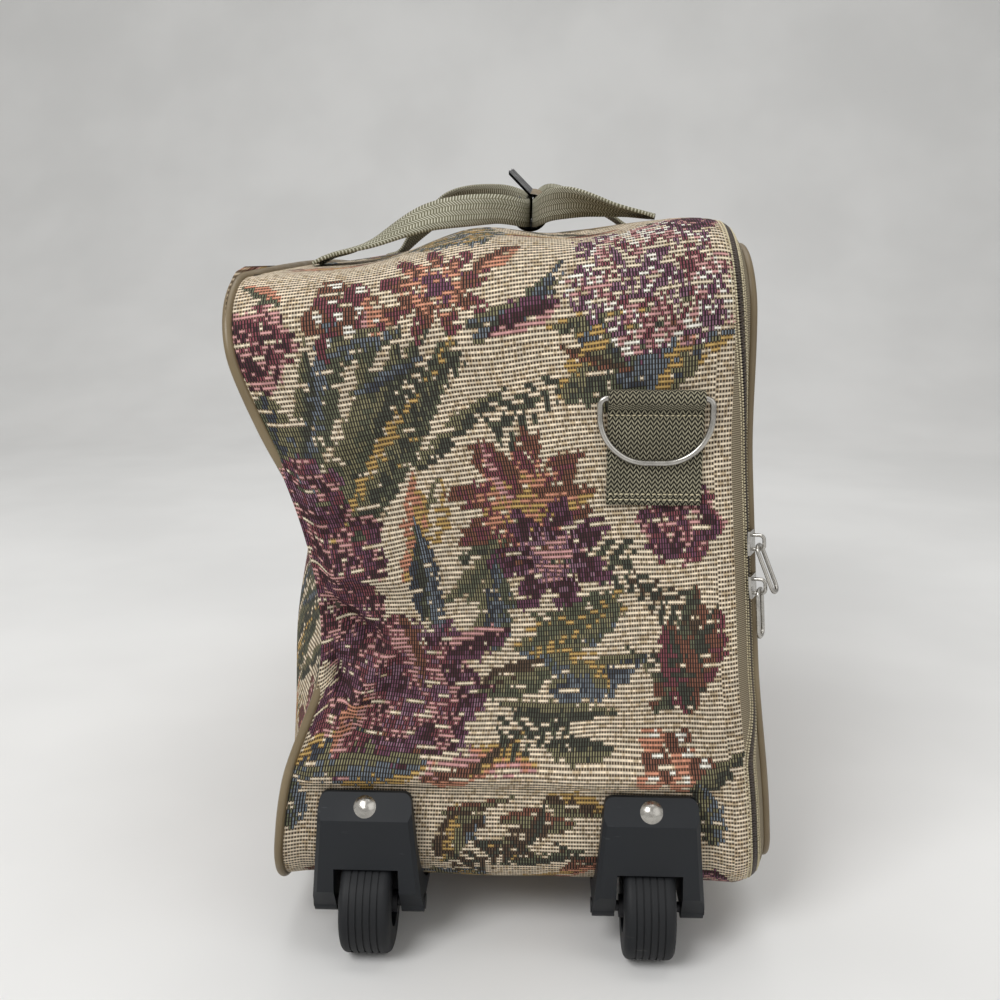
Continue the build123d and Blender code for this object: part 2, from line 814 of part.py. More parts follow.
for side, x in (("left", -foot_x), ("right", foot_x)):
    with BuildPart() as foot:
        with BuildSketch(side_plane(x - foot_width / 2)) as foot_profile:
            sole_y = half_length - foot_sole_inset
            with BuildLine():
                Polyline(
                    (half_length - foot_heel, -housing_flange),
                    (half_length - foot_heel, foot_rise),
                    (half_length + housing_lip, foot_rise),
                    (half_length + foot_depth, foot_rise - foot_depth),
                    (half_length + foot_depth, 0),
                    (sole_y, -ground_gap),
                    (sole_y - foot_sole_length, -ground_gap),
                    (sole_y - 2 * foot_sole_length, -housing_flange),
                    close=True,
                )
            make_face()
            add(bag_profile.sketch, mode=Mode.SUBTRACT)
            fillet(foot_profile.vertices().group_by(Axis.Y)[0], foot_rounding)
        extrude(amount=foot_width)
        rivet_holes()
    finish(foot, f"{side}_foot")

# Carry handles: a leg's rows give across, along, rise, and how far it is turned and folded
left_strap_shares = (
    (
        (-0.92, -1.0, 0.07, 0, 0),
        (-0.74, -0.99, 0.2, 0.05, 0),
        (-0.44, -0.9, 0.54, 0.4, 0.1),
        (-0.14, -0.72, 0.66, 0.85, 0.8),
    ),
    (
        (-0.14, 0.68, 0.98, 0.67, 0.5),
        (-0.45, 0.86, 0.95, 0.28, 0),
        (-0.7, 0.97, 0.46, 0.05, 0),
        (-0.82, 1.0, 0.16, 0, 0),
        (-0.92, 1.0, 0.07, 0, 0),
    ),
)
right_strap_shares = (
    (
        (0.68, -1.0, 0.53, 0, 0),
        (0.5, -0.98, 0.62, 0.15, 0),
        (0.3, -0.9, 0.72, 0.5, 0.3),
        (0.17, -0.76, 0.7, 0.83, 0.8),
    ),
    (
        (0.19, 0.68, 0.98, 0.78, 0.5),
        (0.4, 0.88, 0.92, 0.33, 0),
        (0.56, 0.97, 0.72, 0.09, 0),
        (0.68, 1.0, 0.53, 0, 0),
    ),
)
strap_base = ground_gap + left_height + left_crown + strap_thickness / 2
wrap_way = Vector(0, wrap_length, wrap_end_rise - wrap_start_rise).normalized()
wrap_start = Vector(wrap_centre_x, wrap_start_y, ground_gap + wrap_start_rise)


def strap_section(centre, along, turned, folded):
    """Cross-section of a strap, flat where it is sewn on and on edge in the wrap."""
    level = Vector(0, 0, 1).cross(along).normalized()
    turn = turned * pi / 2
    width_way = level * cos(turn) + along.cross(level) * sin(turn)
    width = strap_width + (strap_fold_width - strap_width) * folded
    with BuildSketch(Plane(origin=centre, x_dir=width_way, z_dir=along)) as section:
        Rectangle(width, strap_thickness)
    return section.sketch.face()


for name, legs, side in (("left_strap", left_strap_shares, -1), ("right_strap", right_strap_shares, 1)):
    wrap_ends = []
    for distance in (-wrap_lead, wrap_length + wrap_lead):
        wrap_ends.append(wrap_start + wrap_way * distance + Vector(side * strap_apart / 2, 0, 0))
    inner_ends = [strap_section(centre, wrap_way, 1, 1) for centre in wrap_ends]
    with BuildPart() as strap:
        loft(inner_ends)
        for leg, rows in enumerate(legs):
            centres = [
                Vector(row[0] * strap_span, row[1] * strap_spread, strap_base + row[2] * strap_rise)
                for row in rows
            ]
            path = [*centres, wrap_ends[0]] if leg == 0 else [wrap_ends[1], *centres]
            sections = []
            for row, centre in zip(rows, centres):
                place = path.index(centre)
                along = path[min(place + 1, len(path) - 1)] - path[max(place - 1, 0)]
                sections.append(strap_section(centre, along.normalized(), row[3], row[4]))
            loft([*sections, inner_ends[0]] if leg == 0 else [inner_ends[1], *sections])
    finish(strap, name)

wrap_plane = Plane(origin=wrap_start, x_dir=(-1, 0, 0), z_dir=wrap_way)
with BuildPart() as handle_wrap:
    with BuildSketch(wrap_plane):
        with BuildLine():
            outer = CenterArc((0, 0), wrap_radius + wrap_thickness, 90, 360 - wrap_opening)
            inner = CenterArc((0, 0), wrap_radius, 90, 360 - wrap_opening)
            Line(outer @ 1, inner @ 1)
            flap_end = (wrap_flap, wrap_radius + wrap_flap)
            flap_top = (wrap_flap, wrap_radius + wrap_flap + wrap_thickness)
            Polyline(outer @ 0, flap_top, flap_end, inner @ 0)
        make_face()
    extrude(amount=wrap_length)
finish(handle_wrap, "handle_wrap")

# Webbing tabs and their D-rings, one at each end
for name, end in (("near", -1), ("far", 1)):
    ring_y = half_length + tab_thickness + ring_clear + ring_wire_radius
    with BuildPart() as tab:
        with BuildSketch(side_plane(tab_centre_x - tab_width / 2)):
            with Locations((end * half_length, tab_rise)):
                Rectangle(2 * tab_thickness, tab_height, align=(Align.CENTER, Align.MIN))
            with Locations((end * ring_y, tab_rise + tab_height)):
                Circle(loop_radius)
                Circle(ring_wire_radius + ring_fit, mode=Mode.SUBTRACT)
            add(bag_profile.sketch, mode=Mode.SUBTRACT)
        extrude(amount=tab_width)
    finish(tab, f"{name}_tab")

    ring_top = ground_gap + tab_rise + tab_height
    ring_plane = Plane(origin=(tab_centre_x, end * ring_y, ring_top), x_dir=(1, 0, 0), z_dir=(0, -1, 0))
    with BuildPart() as d_ring:
        with BuildLine(ring_plane) as ring_path:
            FilletPolyline(
                (-ring_width / 2, 0),
                (ring_width / 2, 0),
                (ring_width / 2, -ring_height),
                (-ring_width / 2, -ring_height),
                radius=[ring_corner, ring_corner, ring_round, ring_round],
                close=True,
            )
        ring_wire = ring_path.wire()
        with BuildSketch(Plane(origin=ring_wire @ 0, z_dir=ring_wire % 0)):
            Circle(ring_wire_radius)
        sweep(path=ring_wire)
    finish(d_ring, f"{name}_d_ring")
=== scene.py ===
"""Looks of a soft tapestry suitcase on wheels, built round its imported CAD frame.

The tapestry, piping, zip, webbing and linings are surfaces worked out with numpy in millimetres.
The mouldings, wheels, tubes and metal fittings keep their CAD solids and get a finish here.
"""

from __future__ import annotations

import logging
import math
from dataclasses import dataclass, field, replace
from enum import Enum
from typing import ClassVar, Optional, Sequence

import bpy
import numpy as np
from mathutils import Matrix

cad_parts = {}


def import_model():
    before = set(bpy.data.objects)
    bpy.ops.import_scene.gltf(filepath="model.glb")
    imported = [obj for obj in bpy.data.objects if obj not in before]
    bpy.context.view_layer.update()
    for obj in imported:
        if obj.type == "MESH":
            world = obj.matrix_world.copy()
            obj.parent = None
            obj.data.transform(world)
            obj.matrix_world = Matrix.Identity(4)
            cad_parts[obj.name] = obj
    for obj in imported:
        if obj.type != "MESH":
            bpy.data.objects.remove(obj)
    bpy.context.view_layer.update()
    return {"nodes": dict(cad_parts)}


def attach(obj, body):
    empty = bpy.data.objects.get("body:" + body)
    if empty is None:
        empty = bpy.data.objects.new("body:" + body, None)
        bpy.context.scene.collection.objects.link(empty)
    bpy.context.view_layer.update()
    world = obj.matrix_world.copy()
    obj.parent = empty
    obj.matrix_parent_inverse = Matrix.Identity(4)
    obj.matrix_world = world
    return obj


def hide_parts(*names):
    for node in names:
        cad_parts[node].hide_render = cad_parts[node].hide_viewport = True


LOG = logging.getLogger("suitcase")
MM = 0.001
Array = np.ndarray
Colour = tuple[float, float, float]
Material = bpy.types.Material
Socket = bpy.types.NodeSocket
Legs = tuple[tuple[tuple[float, ...], ...], ...]


def linear(code: str) -> Colour:
    """Turn a display colour into the linear one that a shader takes.

    Args:
        code: Six hexadecimal digits, as in "c8b89a".

    Returns:
        Red, green and blue from 0 to 1.
    """
    parts = [int(code[i : i + 2], 16) / 255 for i in (0, 2, 4)]
    red, green, blue = (p / 12.92 if p <= 0.04045 else ((p + 0.055) / 1.055) ** 2.4 for p in parts)
    return red, green, blue


def ease(low: float, high: float, value: Array) -> Array:
    """Rise smoothly from 0 at low to 1 at high, as 3t^2 - 2t^3."""
    t = np.clip((value - low) / (high - low), 0.0, 1.0)
    return t * t * (3 - 2 * t)


def ripple(x: Array, y: Array, pitch: float, phase: float) -> Array:
    """Smooth unevenness of about -1 to 1: three crossing sine waves of near pitches."""
    k = 2 * math.pi / pitch
    first = np.sin(k * (0.9 * x + 0.35 * y) + phase)
    second = np.sin(k * (-0.45 * x + 0.8 * y) + 2.1 * phase + 1.0)
    third = np.sin(k * (0.2 * x - 1.1 * y) + 0.7 * phase + 2.0)
    return (first + second + third) / 3


def speckle(first: Array, second: Array, seed: float) -> Array:
    """Repeatable scatter from 0 to 1: the fraction of a large sine of both numbers."""
    wave = np.sin(first * 12.9898 + second * 78.233 + seed * 37.719)
    return np.modf(np.abs(wave * 43758.5453))[0]


def unit(vectors: Array) -> Array:
    """Vectors of length one, along the same ways."""
    return vectors / np.linalg.norm(vectors, axis=-1, keepdims=True)


def stacked(*parts: Array) -> Array:
    """Places from their separate numbers, spread to one shape."""
    return np.stack(np.broadcast_arrays(*parts), axis=-1)


def lattice(across: Array, along: Array) -> Array:
    """Pattern places of every column and row, from the places of the columns and of the rows."""
    return np.stack(np.meshgrid(across, along), axis=-1)


def circle(turn: Array, radius: float) -> Array:
    """Points at the given angles on a circle about zero."""
    return np.column_stack([np.cos(turn), np.sin(turn)]) * radius


def distances(line: Array) -> Array:
    """Distance along a line to each of its points: the running sum of its steps."""
    return np.concatenate([[0.0], np.cumsum(np.linalg.norm(np.diff(line, axis=0), axis=1))])


def even_steps(parts: Sequence[Array], count: int) -> tuple[Array, Array]:
    """Walk round a closed outline at even steps.

    Args:
        parts: Stretches of the outline in order, as pairs of numbers.
        count: Number of steps.

    Returns:
        Points of shape (count, 2), and the distance along to each.
    """
    line = np.concatenate(parts)
    line = line[np.concatenate([[True], np.diff(distances(line)) > 1e-6])]
    run = distances(line)
    at = np.arange(count) * run[-1] / count
    return np.column_stack([np.interp(at, run, line[:, i]) for i in (0, 1)]), at


def stretches(ends: int, bends: int, span: int) -> tuple[Array, ...]:
    """Rows of a band that follows one end, a corner, a span, a corner and the other end.

    Args:
        ends: Rows of cells in each end.
        bends: Rows of cells in each corner.
        span: Rows of cells between the corners.

    Returns:
        Columns of each row's number, and how far it is in each stretch: from 0 to 1 in the ends
        and the span, and as an angle in the corners.
    """
    counts = (ends, bends, span, bends, ends)
    starts = np.cumsum((0, *counts[:-1]))
    step = np.arange(sum(counts) + 1.0)[:, None]
    a, b, c, d, e = (np.clip((step - s) / n, 0, 1) for s, n in zip(starts, counts))
    return step, a, b * math.pi / 2, c, d * math.pi / 2, e


class Yarn(Enum):
    """Yarns of the tapestry, as display colours."""

    CREAM = "e9dac2"
    SAND = "c9b597"
    WHITE = "f6f1e6"
    PLUM = "7d4f66"
    BURGUNDY = "8d4f58"
    WINE = "54303a"
    PINK = "cc9a98"
    MAUVE = "9c7488"
    CORAL = "cf9278"
    RUST = "8f5f4c"
    OCHRE = "c2a164"
    OLIVE = "918c6b"
    GREEN = "6f735c"
    FOREST = "52564a"
    SLATE = "7d8790"
    NAVY = "505761"
    BROWN = "63503f"

    @property
    def rgb(self) -> Colour:
        """Linear colour of the yarn."""
        return linear(self.value)

    @property
    def floats(self) -> float:
        """1 for a dark yarn, which floats upright, and 0 for a light one, which lies in ribs."""
        return 0.0 if self.name in ("CREAM", "SAND", "WHITE", "PINK", "CORAL", "OCHRE") else 1.0


@dataclass(frozen=True)
class Grid:
    """A surface worked out as rows and columns of points, in millimetres.

    Attributes:
        points: Places of shape (rows, columns, 3).
        pattern: Pattern places of shape (rows, columns, 2), one more row or column where it closes.
        round_rows: Whether the last row joins the first.
        round_columns: Whether the last column joins the first.
        flip: Whether the faces are turned over.
        colours: Linear colour and structure of each face, of shape (faces, 4).
        keep: Which faces are kept, where some are cut out.
    """

    points: Array
    pattern: Array
    round_rows: bool = False
    round_columns: bool = False
    flip: bool = False
    colours: Optional[Array] = None
    keep: Optional[Array] = None

    def corners(self) -> tuple[Array, Array]:
        """Corner indices of every face.

        Returns:
            Indices into the points and into the pattern, each of shape (faces, 4).
        """
        rows, columns = self.points.shape[:2]
        r, c = np.meshgrid(
            np.arange(rows if self.round_rows else rows - 1),
            np.arange(columns if self.round_columns else columns - 1),
            indexing="ij",
        )
        down = np.stack([r, r, r + 1, r + 1], axis=-1).reshape(-1, 4)
        along = np.stack([c, c + 1, c + 1, c], axis=-1).reshape(-1, 4)
        if self.flip:
            down, along = down[:, ::-1], along[:, ::-1]
        return (down % rows) * columns + along % columns, down * self.pattern.shape[1] + along


def make_piece(name: str, grids: Sequence[Grid], material: Material) -> bpy.types.Object:
    """Put one or more grids into a mesh object with its weave map and yarn colours.

    Args:
        name: Name of the piece.
        grids: Surfaces that make it up.
        material: Its finish.

    Returns:
        The object, at the origin, with its place in its mesh.
    """
    vertices, faces, pattern, colours = [], [], [], []
    start = 0
    for grid in grids:
        places, maps = grid.corners()
        tint = grid.colours if grid.colours is not None else np.ones((len(places), 4))
        if grid.keep is not None:
            places, maps, tint = places[grid.keep], maps[grid.keep], tint[grid.keep]
        vertices.append(grid.points.reshape(-1, 3) * MM)
        faces.append(places + start)
        pattern.append(grid.pattern.reshape(-1, 2)[maps.ravel()])
        colours.append(np.repeat(tint, 4, axis=0))
        start += grid.points.shape[0] * grid.points.shape[1]
    mesh = bpy.data.meshes.new(name)
    mesh.from_pydata(np.concatenate(vertices), [], np.concatenate(faces).tolist())
    weave = mesh.uv_layers.new(name="weave")
    weave.data.foreach_set("uv", np.concatenate(pattern).astype(np.float32).ravel())
    yarn = mesh.color_attributes.new(name="yarn", type="FLOAT_COLOR", domain="CORNER")
    yarn.data.foreach_set("color", np.concatenate(colours).astype(np.float32).ravel())
    mesh.polygons.foreach_set("use_smooth", np.ones(len(mesh.polygons), dtype=bool))
    mesh.update()
    piece = bpy.data.objects.new(name, mesh)
    bpy.context.scene.collection.objects.link(piece)
    piece.data.materials.append(material)
    return piece


def place_piece(piece: bpy.types.Object, body: str, slot: str, *nodes: str) -> bpy.types.Object:
    """Let a piece ride on a body and stand for CAD nodes.

    Args:
        piece: The finished piece.
        body: The CAD body that carries it.
        slot: The record's material slot. It is not used.
        nodes: CAD nodes that it stands for.

    Returns:
        The same piece.
    """
    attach(piece, body)
    if nodes:
        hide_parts(*nodes)
    LOG.info("%s: %d faces on %s", piece.name, len(piece.data.polygons), body)
    return piece


def tube(path: Array, radius: float, sides: int, closed: bool, lean: Array) -> Grid:
    """Carry a circle along a path, its start turned towards a fixed direction.

    Args:
        path: Points of shape (n, 3).
        radius: Radius of the circle.
        sides: Points on the circle.
        closed: Whether the path returns to its start.
        lean: Direction that is never along the path.

    Returns:
        The tube's grid, with the pattern in millimetres round and along.
    """
    if closed:
        way = np.roll(path, -1, axis=0) - np.roll(path, 1, axis=0)
    else:
        way = np.gradient(path, axis=0)
    way = unit(way)
    side = unit(np.cross(way, lean))
    rise = np.cross(side, way)
    turn = np.arange(sides) * 2 * math.pi / sides
    ring = np.cos(turn)[:, None] * side[:, None] + np.sin(turn)[:, None] * rise[:, None]
    steps = np.linalg.norm(np.diff(path, axis=0), axis=1)
    length = np.concatenate([[0.0], np.cumsum(steps), [steps.sum() + steps.mean()]])
    rows = len(path) + (1 if closed else 0)
    around = np.linspace(0, 2 * math.pi * radius, sides + 1)
    pattern = lattice(around, length[:rows])
    return Grid(path[:, None] + radius * ring, pattern, closed, True)


def beads(
    centres: Array, ways: Array, ups: Array, size: Sequence[float], rings: int = 3, sides: int = 6
) -> Grid:
    """Scatter small rounded beads, each an ellipsoid stretched along its own way.

    Args:
        centres: Places of shape (n, 3).
        ways: Unit directions of their length.
        ups: Unit directions of their height.
        size: Half length, half width and half height.
        rings: Rows from end to end.
        sides: Points round each row.

    Returns:
        One grid whose rows are kept apart by rows of no size.
    """
    across = np.cross(ways, ups)
    polar = np.linspace(0, math.pi, rings + 1)
    turn = np.arange(sides) * 2 * math.pi / sides
    along = np.cos(polar)[:, None] * np.ones(sides)
    wide = np.sin(polar)[:, None] * np.cos(turn)
    high = np.sin(polar)[:, None] * np.sin(turn)
    points = (
        centres[:, None, None]
        + size[0] * along[None, :, :, None] * ways[:, None, None]
        + size[1] * wide[None, :, :, None] * across[:, None, None]
        + size[2] * high[None, :, :, None] * ups[:, None, None]
    ).reshape(-1, sides, 3)
    pattern = lattice(np.arange(sides + 1.0), np.arange(len(points) + 0.0))
    return Grid(points, pattern, False, True)


class Nodes:
    """Short hand for a material's shader nodes."""

    def __init__(self, name: str) -> None:
        """Start a material with one surface shader.

        Args:
            name: Name of the material.
        """
        self.material = bpy.data.materials.new(name)
        self.material.use_nodes = True
        self.tree = self.material.node_tree
        self.surface = self.tree.nodes["Principled BSDF"]

    def set(self, socket: str, value: object) -> None:
        """Set or link one socket of the surface shader."""
        self.feed(self.surface.inputs[socket], value)

    def feed(self, socket: Socket, value: object) -> None:
        """Link a socket, or set its value."""
        if isinstance(value, Socket):
            self.tree.links.new(value, socket)
        elif isinstance(value, tuple) and len(value) == 3 and socket.type == "RGBA":
            socket.default_value = (*value, 1.0)
        else:
            socket.default_value = value

    def math(self, operation: str, first: object, second: object = 0.0) -> Socket:
        """Combine two numbers.

        Args:
            operation: Name of the operation.
            first: Number or socket.
            second: Number or socket.

        Returns:
            The result's socket.
        """
        node = self.tree.nodes.new("ShaderNodeMath")
        node.operation = operation
        self.feed(node.inputs[0], first)
        self.feed(node.inputs[1], second)
        return node.outputs[0]

    def zigzag(self, value: object, pitch: Optional[float] = None) -> Socket:
        """Distance from the middle of each pitch: 0 there and 0.5 at both its ends.

        Args:
            value: Number or socket.
            pitch: Length of one pitch, or none where the number counts pitches.

        Returns:
            The result's socket.
        """
        counted = value if pitch is None else self.math("DIVIDE", value, pitch)
        return self.math("ABSOLUTE", self.math("SUBTRACT", self.math("FRACT", counted), 0.5))

    def ease(
        self, value: object, low: float, high: float, to_low: float = 0.0, to_high: float = 1.0
    ) -> Socket:
        """Smooth step of a number.

        Args:
            value: Number or socket.
            low: Where the step starts.
            high: Where the step ends.
            to_low: Result before the step.
            to_high: Result after the step.

        Returns:
            The result's socket.
        """
        node = self.tree.nodes.new("ShaderNodeMapRange")
        node.interpolation_type = "SMOOTHSTEP"
        for socket, number in zip(node.inputs, (value, low, high, to_low, to_high)):
            self.feed(socket, number)
        return node.outputs[0]

    def blend(self, share: object, first: object, second: object, kind: str = "MIX") -> Socket:
        """Mix two colours.

        Args:
            share: How much of the second.
            first: Colour or socket.
            second: Colour or socket.
            kind: Kind of mixing.

        Returns:
            The colour's socket.
        """
        node = self.tree.nodes.new("ShaderNodeMix")
        node.data_type = "RGBA"
        node.blend_type = kind
        self.feed(node.inputs[0], share)
        self.feed(node.inputs[6], first)
        self.feed(node.inputs[7], second)
        return node.outputs[2]

    def place(self, source: str = "Object") -> Socket:
        """Texture place on the piece."""
        return self.tree.nodes.new("ShaderNodeTexCoord").outputs[source]

    def split(self, vector: Socket) -> list[Socket]:
        """The three numbers of a vector."""
        node = self.tree.nodes.new("ShaderNodeSeparateXYZ")
        self.feed(node.inputs[0], vector)
        return list(node.outputs)

    def noise(
        self, scale: float, detail: float = 4.0, stretch: Optional[Colour] = None
    ) -> Socket:
        """Cloudy noise on the piece.

        Args:
            scale: Size of the noise, in cycles a metre.
            detail: Number of finer layers.
            stretch: Scale of each axis before the noise.

        Returns:
            The noise's socket, about 0 to 1.
        """
        place = self.place()
        if stretch is not None:
            mapping = self.tree.nodes.new("ShaderNodeMapping")
            mapping.inputs["Scale"].default_value = stretch
            self.feed(mapping.inputs[0], place)
            place = mapping.outputs[0]
        node = self.tree.nodes.new("ShaderNodeTexNoise")
        self.feed(node.inputs["Vector"], place)
        node.inputs["Scale"].default_value = scale
        node.inputs["Detail"].default_value = detail
        return node.outputs["Fac"]

    def attribute(self, name: str) -> tuple[Socket, Socket]:
        """Colour and alpha of a mesh attribute."""
        node = self.tree.nodes.new("ShaderNodeAttribute")
        node.attribute_name = name
        return node.outputs["Color"], node.outputs["Alpha"]

    def bump(self, height: Socket, strength: float, distance: float) -> None:
        """Raise the surface by a height, in millimetres."""
        node = self.tree.nodes.new("ShaderNodeBump")
        node.inputs["Strength"].default_value = strength
        node.inputs["Distance"].default_value = distance * MM
        self.feed(node.inputs["Height"], height)
        self.set("Normal", node.outputs[0])


@dataclass(frozen=True)
class TapestryFinish:
    """Woven tapestry: light weft ribs over dark holes, and upright floats in the figures.

    The weave map counts threads. The yarn attribute holds each thread's colour and, as its alpha,
    whether it belongs to a figure.
    """

    shadow: Colour = linear("3a3028")
    figure_shadow: Colour = linear("2a2522")
    roughness: float = 0.92

    def build(self) -> Material:
        """Make the material."""
        n = Nodes("tapestry")
        across, down, _ = n.split(n.place("UV"))
        yarn, figure = n.attribute("yarn")
        column, row = n.zigzag(across), n.zigzag(down)
        rib = n.ease(row, 0.1, 0.33, 1.0, 0.0)
        hole = n.ease(column, 0.18, 0.42, 1.0, 0.0)
        # Painted shade: in the grooves between the weft ribs each yarn turns to a darker copy of
        # itself, and the holes take the shadow colour.
        groove_shade = n.blend(1.0, yarn, (0.62, 0.58, 0.52), "MULTIPLY")
        ground = n.blend(rib, n.blend(hole, groove_shade, self.shadow), yarn)
        strand = n.ease(column, 0.12, 0.34, 1.0, 0.0)
        dash = n.math("MULTIPLY", strand, n.ease(row, 0.28, 0.48, 1.0, 0.3))
        shaded = n.blend(dash, self.figure_shadow, yarn)
        colour = n.blend(figure, ground, shaded)
        worn = n.ease(n.noise(9.0, 3.0), 0.3, 0.75, 0.82, 1.04)
        grey = n.tree.nodes.new("ShaderNodeCombineColor")
        for socket in grey.inputs:
            n.feed(socket, worn)
        n.set("Base Color", n.blend(1.0, colour, grey.outputs[0], "MULTIPLY"))
        plain = n.math("MULTIPLY", rib, n.math("SUBTRACT", 1.0, figure))
        dull = self.roughness
        n.set("Roughness", n.ease(n.noise(260.0, 3.0), 0.3, 0.7, dull - 0.1, dull))
        n.set("Specular IOR Level", 0.2)
        n.bump(n.math("ADD", plain, n.math("MULTIPLY", dash, figure)), 0.6, 0.5)
        return n.material


@dataclass(frozen=True)
class WebbingFinish:
    """Herringbone webbing: slanted floats that turn about every few threads."""

    name: str = "webbing"
    light: Colour = linear("a8a28a")
    dark: Colour = linear("181610")
    pitch: float = 2.6
    turn: float = 3.3

    def build(self) -> Material:
        """Make the material."""
        n = Nodes(self.name)
        across, along, _ = n.split(n.place("UV"))
        zig = n.math("MULTIPLY", n.zigzag(across, self.turn), 2.0)
        slant = n.math("ADD", n.math("DIVIDE", along, self.pitch), zig)
        thread = n.ease(n.zigzag(slant), 0.08, 0.34, 1.0, 0.0)
        strand = n.ease(n.zigzag(across, self.turn / 2), 0.36, 0.5, 1.0, 0.25)
        lift = n.math("MULTIPLY", thread, strand)
        patch = n.ease(n.noise(55.0), 0.3, 0.7, 0.75, 1.1)
        n.set("Base Color", n.blend(n.math("MULTIPLY", lift, patch), self.dark, self.light))
        n.set("Roughness", 0.85)
        n.set("Specular IOR Level", 0.25)
        n.bump(lift, 0.7, 0.6)
        return n.material


@dataclass(frozen=True)
class RibbedTapeFinish:
    """Zip tape: fine cross ribs, with lighter threads."""

    light: Colour = linear("a2967e")
    dark: Colour = linear("41382c")
    pitch: float = 1.15
    cord: float = 0.9

    def build(self) -> Material:
        """Make the material."""
        n = Nodes("zip_tape")
        across, along, _ = n.split(n.place("UV"))
        rib = n.ease(n.zigzag(along, self.pitch), 0.15, 0.45, 1.0, 0.1)
        cord = n.ease(n.zigzag(across, self.cord), 0.25, 0.5, 1.0, 0.5)
        lift = n.math("MULTIPLY", rib, cord)
        n.set("Base Color", n.blend(lift, self.dark, self.light))
        n.set("Roughness", 0.85)
        n.set("Specular IOR Level", 0.25)
        n.bump(lift, 0.6, 0.35)
        return n.material


@dataclass(frozen=True)
class ClothFinish:
    """Plain fine cloth for linings and threads, with a faint check of its yarns."""

    name: str
    light: Colour
    dark: Colour
    pitch: float = 0.8
    roughness: float = 0.85

    def build(self) -> Material:
        """Make the material."""
        n = Nodes(self.name)
        across, along, _ = n.split(n.place("UV"))
        warp = n.math("SINE", n.math("MULTIPLY", across, 2 * math.pi / self.pitch))
        weft = n.math("SINE", n.math("MULTIPLY", along, 2 * math.pi / self.pitch))
        lift = n.ease(n.math("MULTIPLY", warp, weft), -0.6, 0.6)
        cloud = n.math("MULTIPLY", n.ease(n.noise(40.0), 0.3, 0.7, 0.7, 1.0), lift)
        n.set("Base Color", n.blend(cloud, self.dark, self.light))
        n.set("Roughness", self.roughness)
        n.set("Specular IOR Level", 0.3)
        n.bump(lift, 0.3, 0.15)
        return n.material


@dataclass(frozen=True)
class MouldedFinish:
    """Moulded plastic or rubber: fine grain, dull patches, and pale scuffs along one way."""

    name: str
    base: Colour
    scuff: Colour
    roughness: float
    scuffs: float = 0.35
    grain: float = 0.12

    def build(self) -> Material:
        """Make the material."""
        n = Nodes(self.name)
        cloud = n.noise(28.0, 5.0)
        scratch = n.noise(60.0, 6.0, (1.0, 0.4, 7.0))
        rubbed = n.ease(cloud, 0.5, 0.66, 0.0, self.scuffs)
        mark = n.math("MULTIPLY", n.ease(scratch, 0.64, 0.74), rubbed)
        paler = tuple(1.7 * c for c in self.base)
        tone = n.blend(n.ease(cloud, 0.3, 0.7, 0.0, 0.35), self.base, paler)
        n.set("Base Color", n.blend(mark, tone, self.scuff))
        dull = self.roughness
        n.set("Roughness", n.ease(cloud, 0.25, 0.75, dull - 0.08, dull + 0.1))
        n.set("Specular IOR Level", 0.35)
        n.bump(n.noise(2600.0, 2.0), self.grain, 0.1)
        return n.material


@dataclass(frozen=True)
class VinylFinish:
    """Smooth vinyl: a faint grain, rubbed paler in patches."""

    name: str
    base: Colour
    rubbed: Colour
    roughness: float = 0.42

    def build(self) -> Material:
        """Make the material."""
        n = Nodes(self.name)
        cloud = n.noise(22.0, 4.0)
        n.set("Base Color", n.blend(n.ease(cloud, 0.35, 0.75), self.base, self.rubbed))
        dull = self.roughness
        n.set("Roughness", n.ease(n.noise(70.0), 0.3, 0.7, dull - 0.07, dull + 0.1))
        n.bump(n.noise(900.0, 3.0), 0.1, 0.2)
        return n.material


@dataclass(frozen=True)
class WrapFinish:
    """Coated wrap of the carry handles: a tint for each face, a fine grain and dull creases."""

    roughness: float = 0.46

    def build(self) -> Material:
        """Make the material."""
        n = Nodes("wrap_vinyl")
        tint = n.attribute("yarn")[0]
        cloud = n.noise(60.0, 4.0)
        rubbed = n.blend(1.0, tint, (1.5, 1.45, 1.35), "MULTIPLY")
        n.set("Base Color", n.blend(n.ease(cloud, 0.45, 0.75), tint, rubbed))
        dull = self.roughness
        n.set("Roughness", n.ease(n.noise(120.0), 0.3, 0.7, dull - 0.1, dull + 0.14))
        n.bump(n.noise(1100.0, 3.0), 0.2, 0.25)
        return n.material


@dataclass(frozen=True)
class MetalFinish:
    """Plated or drawn metal, with hairlines and dull spots."""

    name: str
    base: Colour
    roughness: float

    def build(self) -> Material:
        """Make the material."""
        n = Nodes(self.name)
        cloud = n.noise(140.0, 4.0)
        dimmer = tuple(0.72 * c for c in self.base)
        n.set("Base Color", n.blend(n.ease(cloud, 0.3, 0.8), self.base, dimmer))
        n.set("Metallic", 1.0)
        dull = self.roughness
        n.set("Roughness", n.ease(n.noise(420.0, 3.0), 0.3, 0.75, dull, dull + 0.16))
        n.bump(n.noise(1400.0, 2.0), 0.05, 0.1)
        return n.material


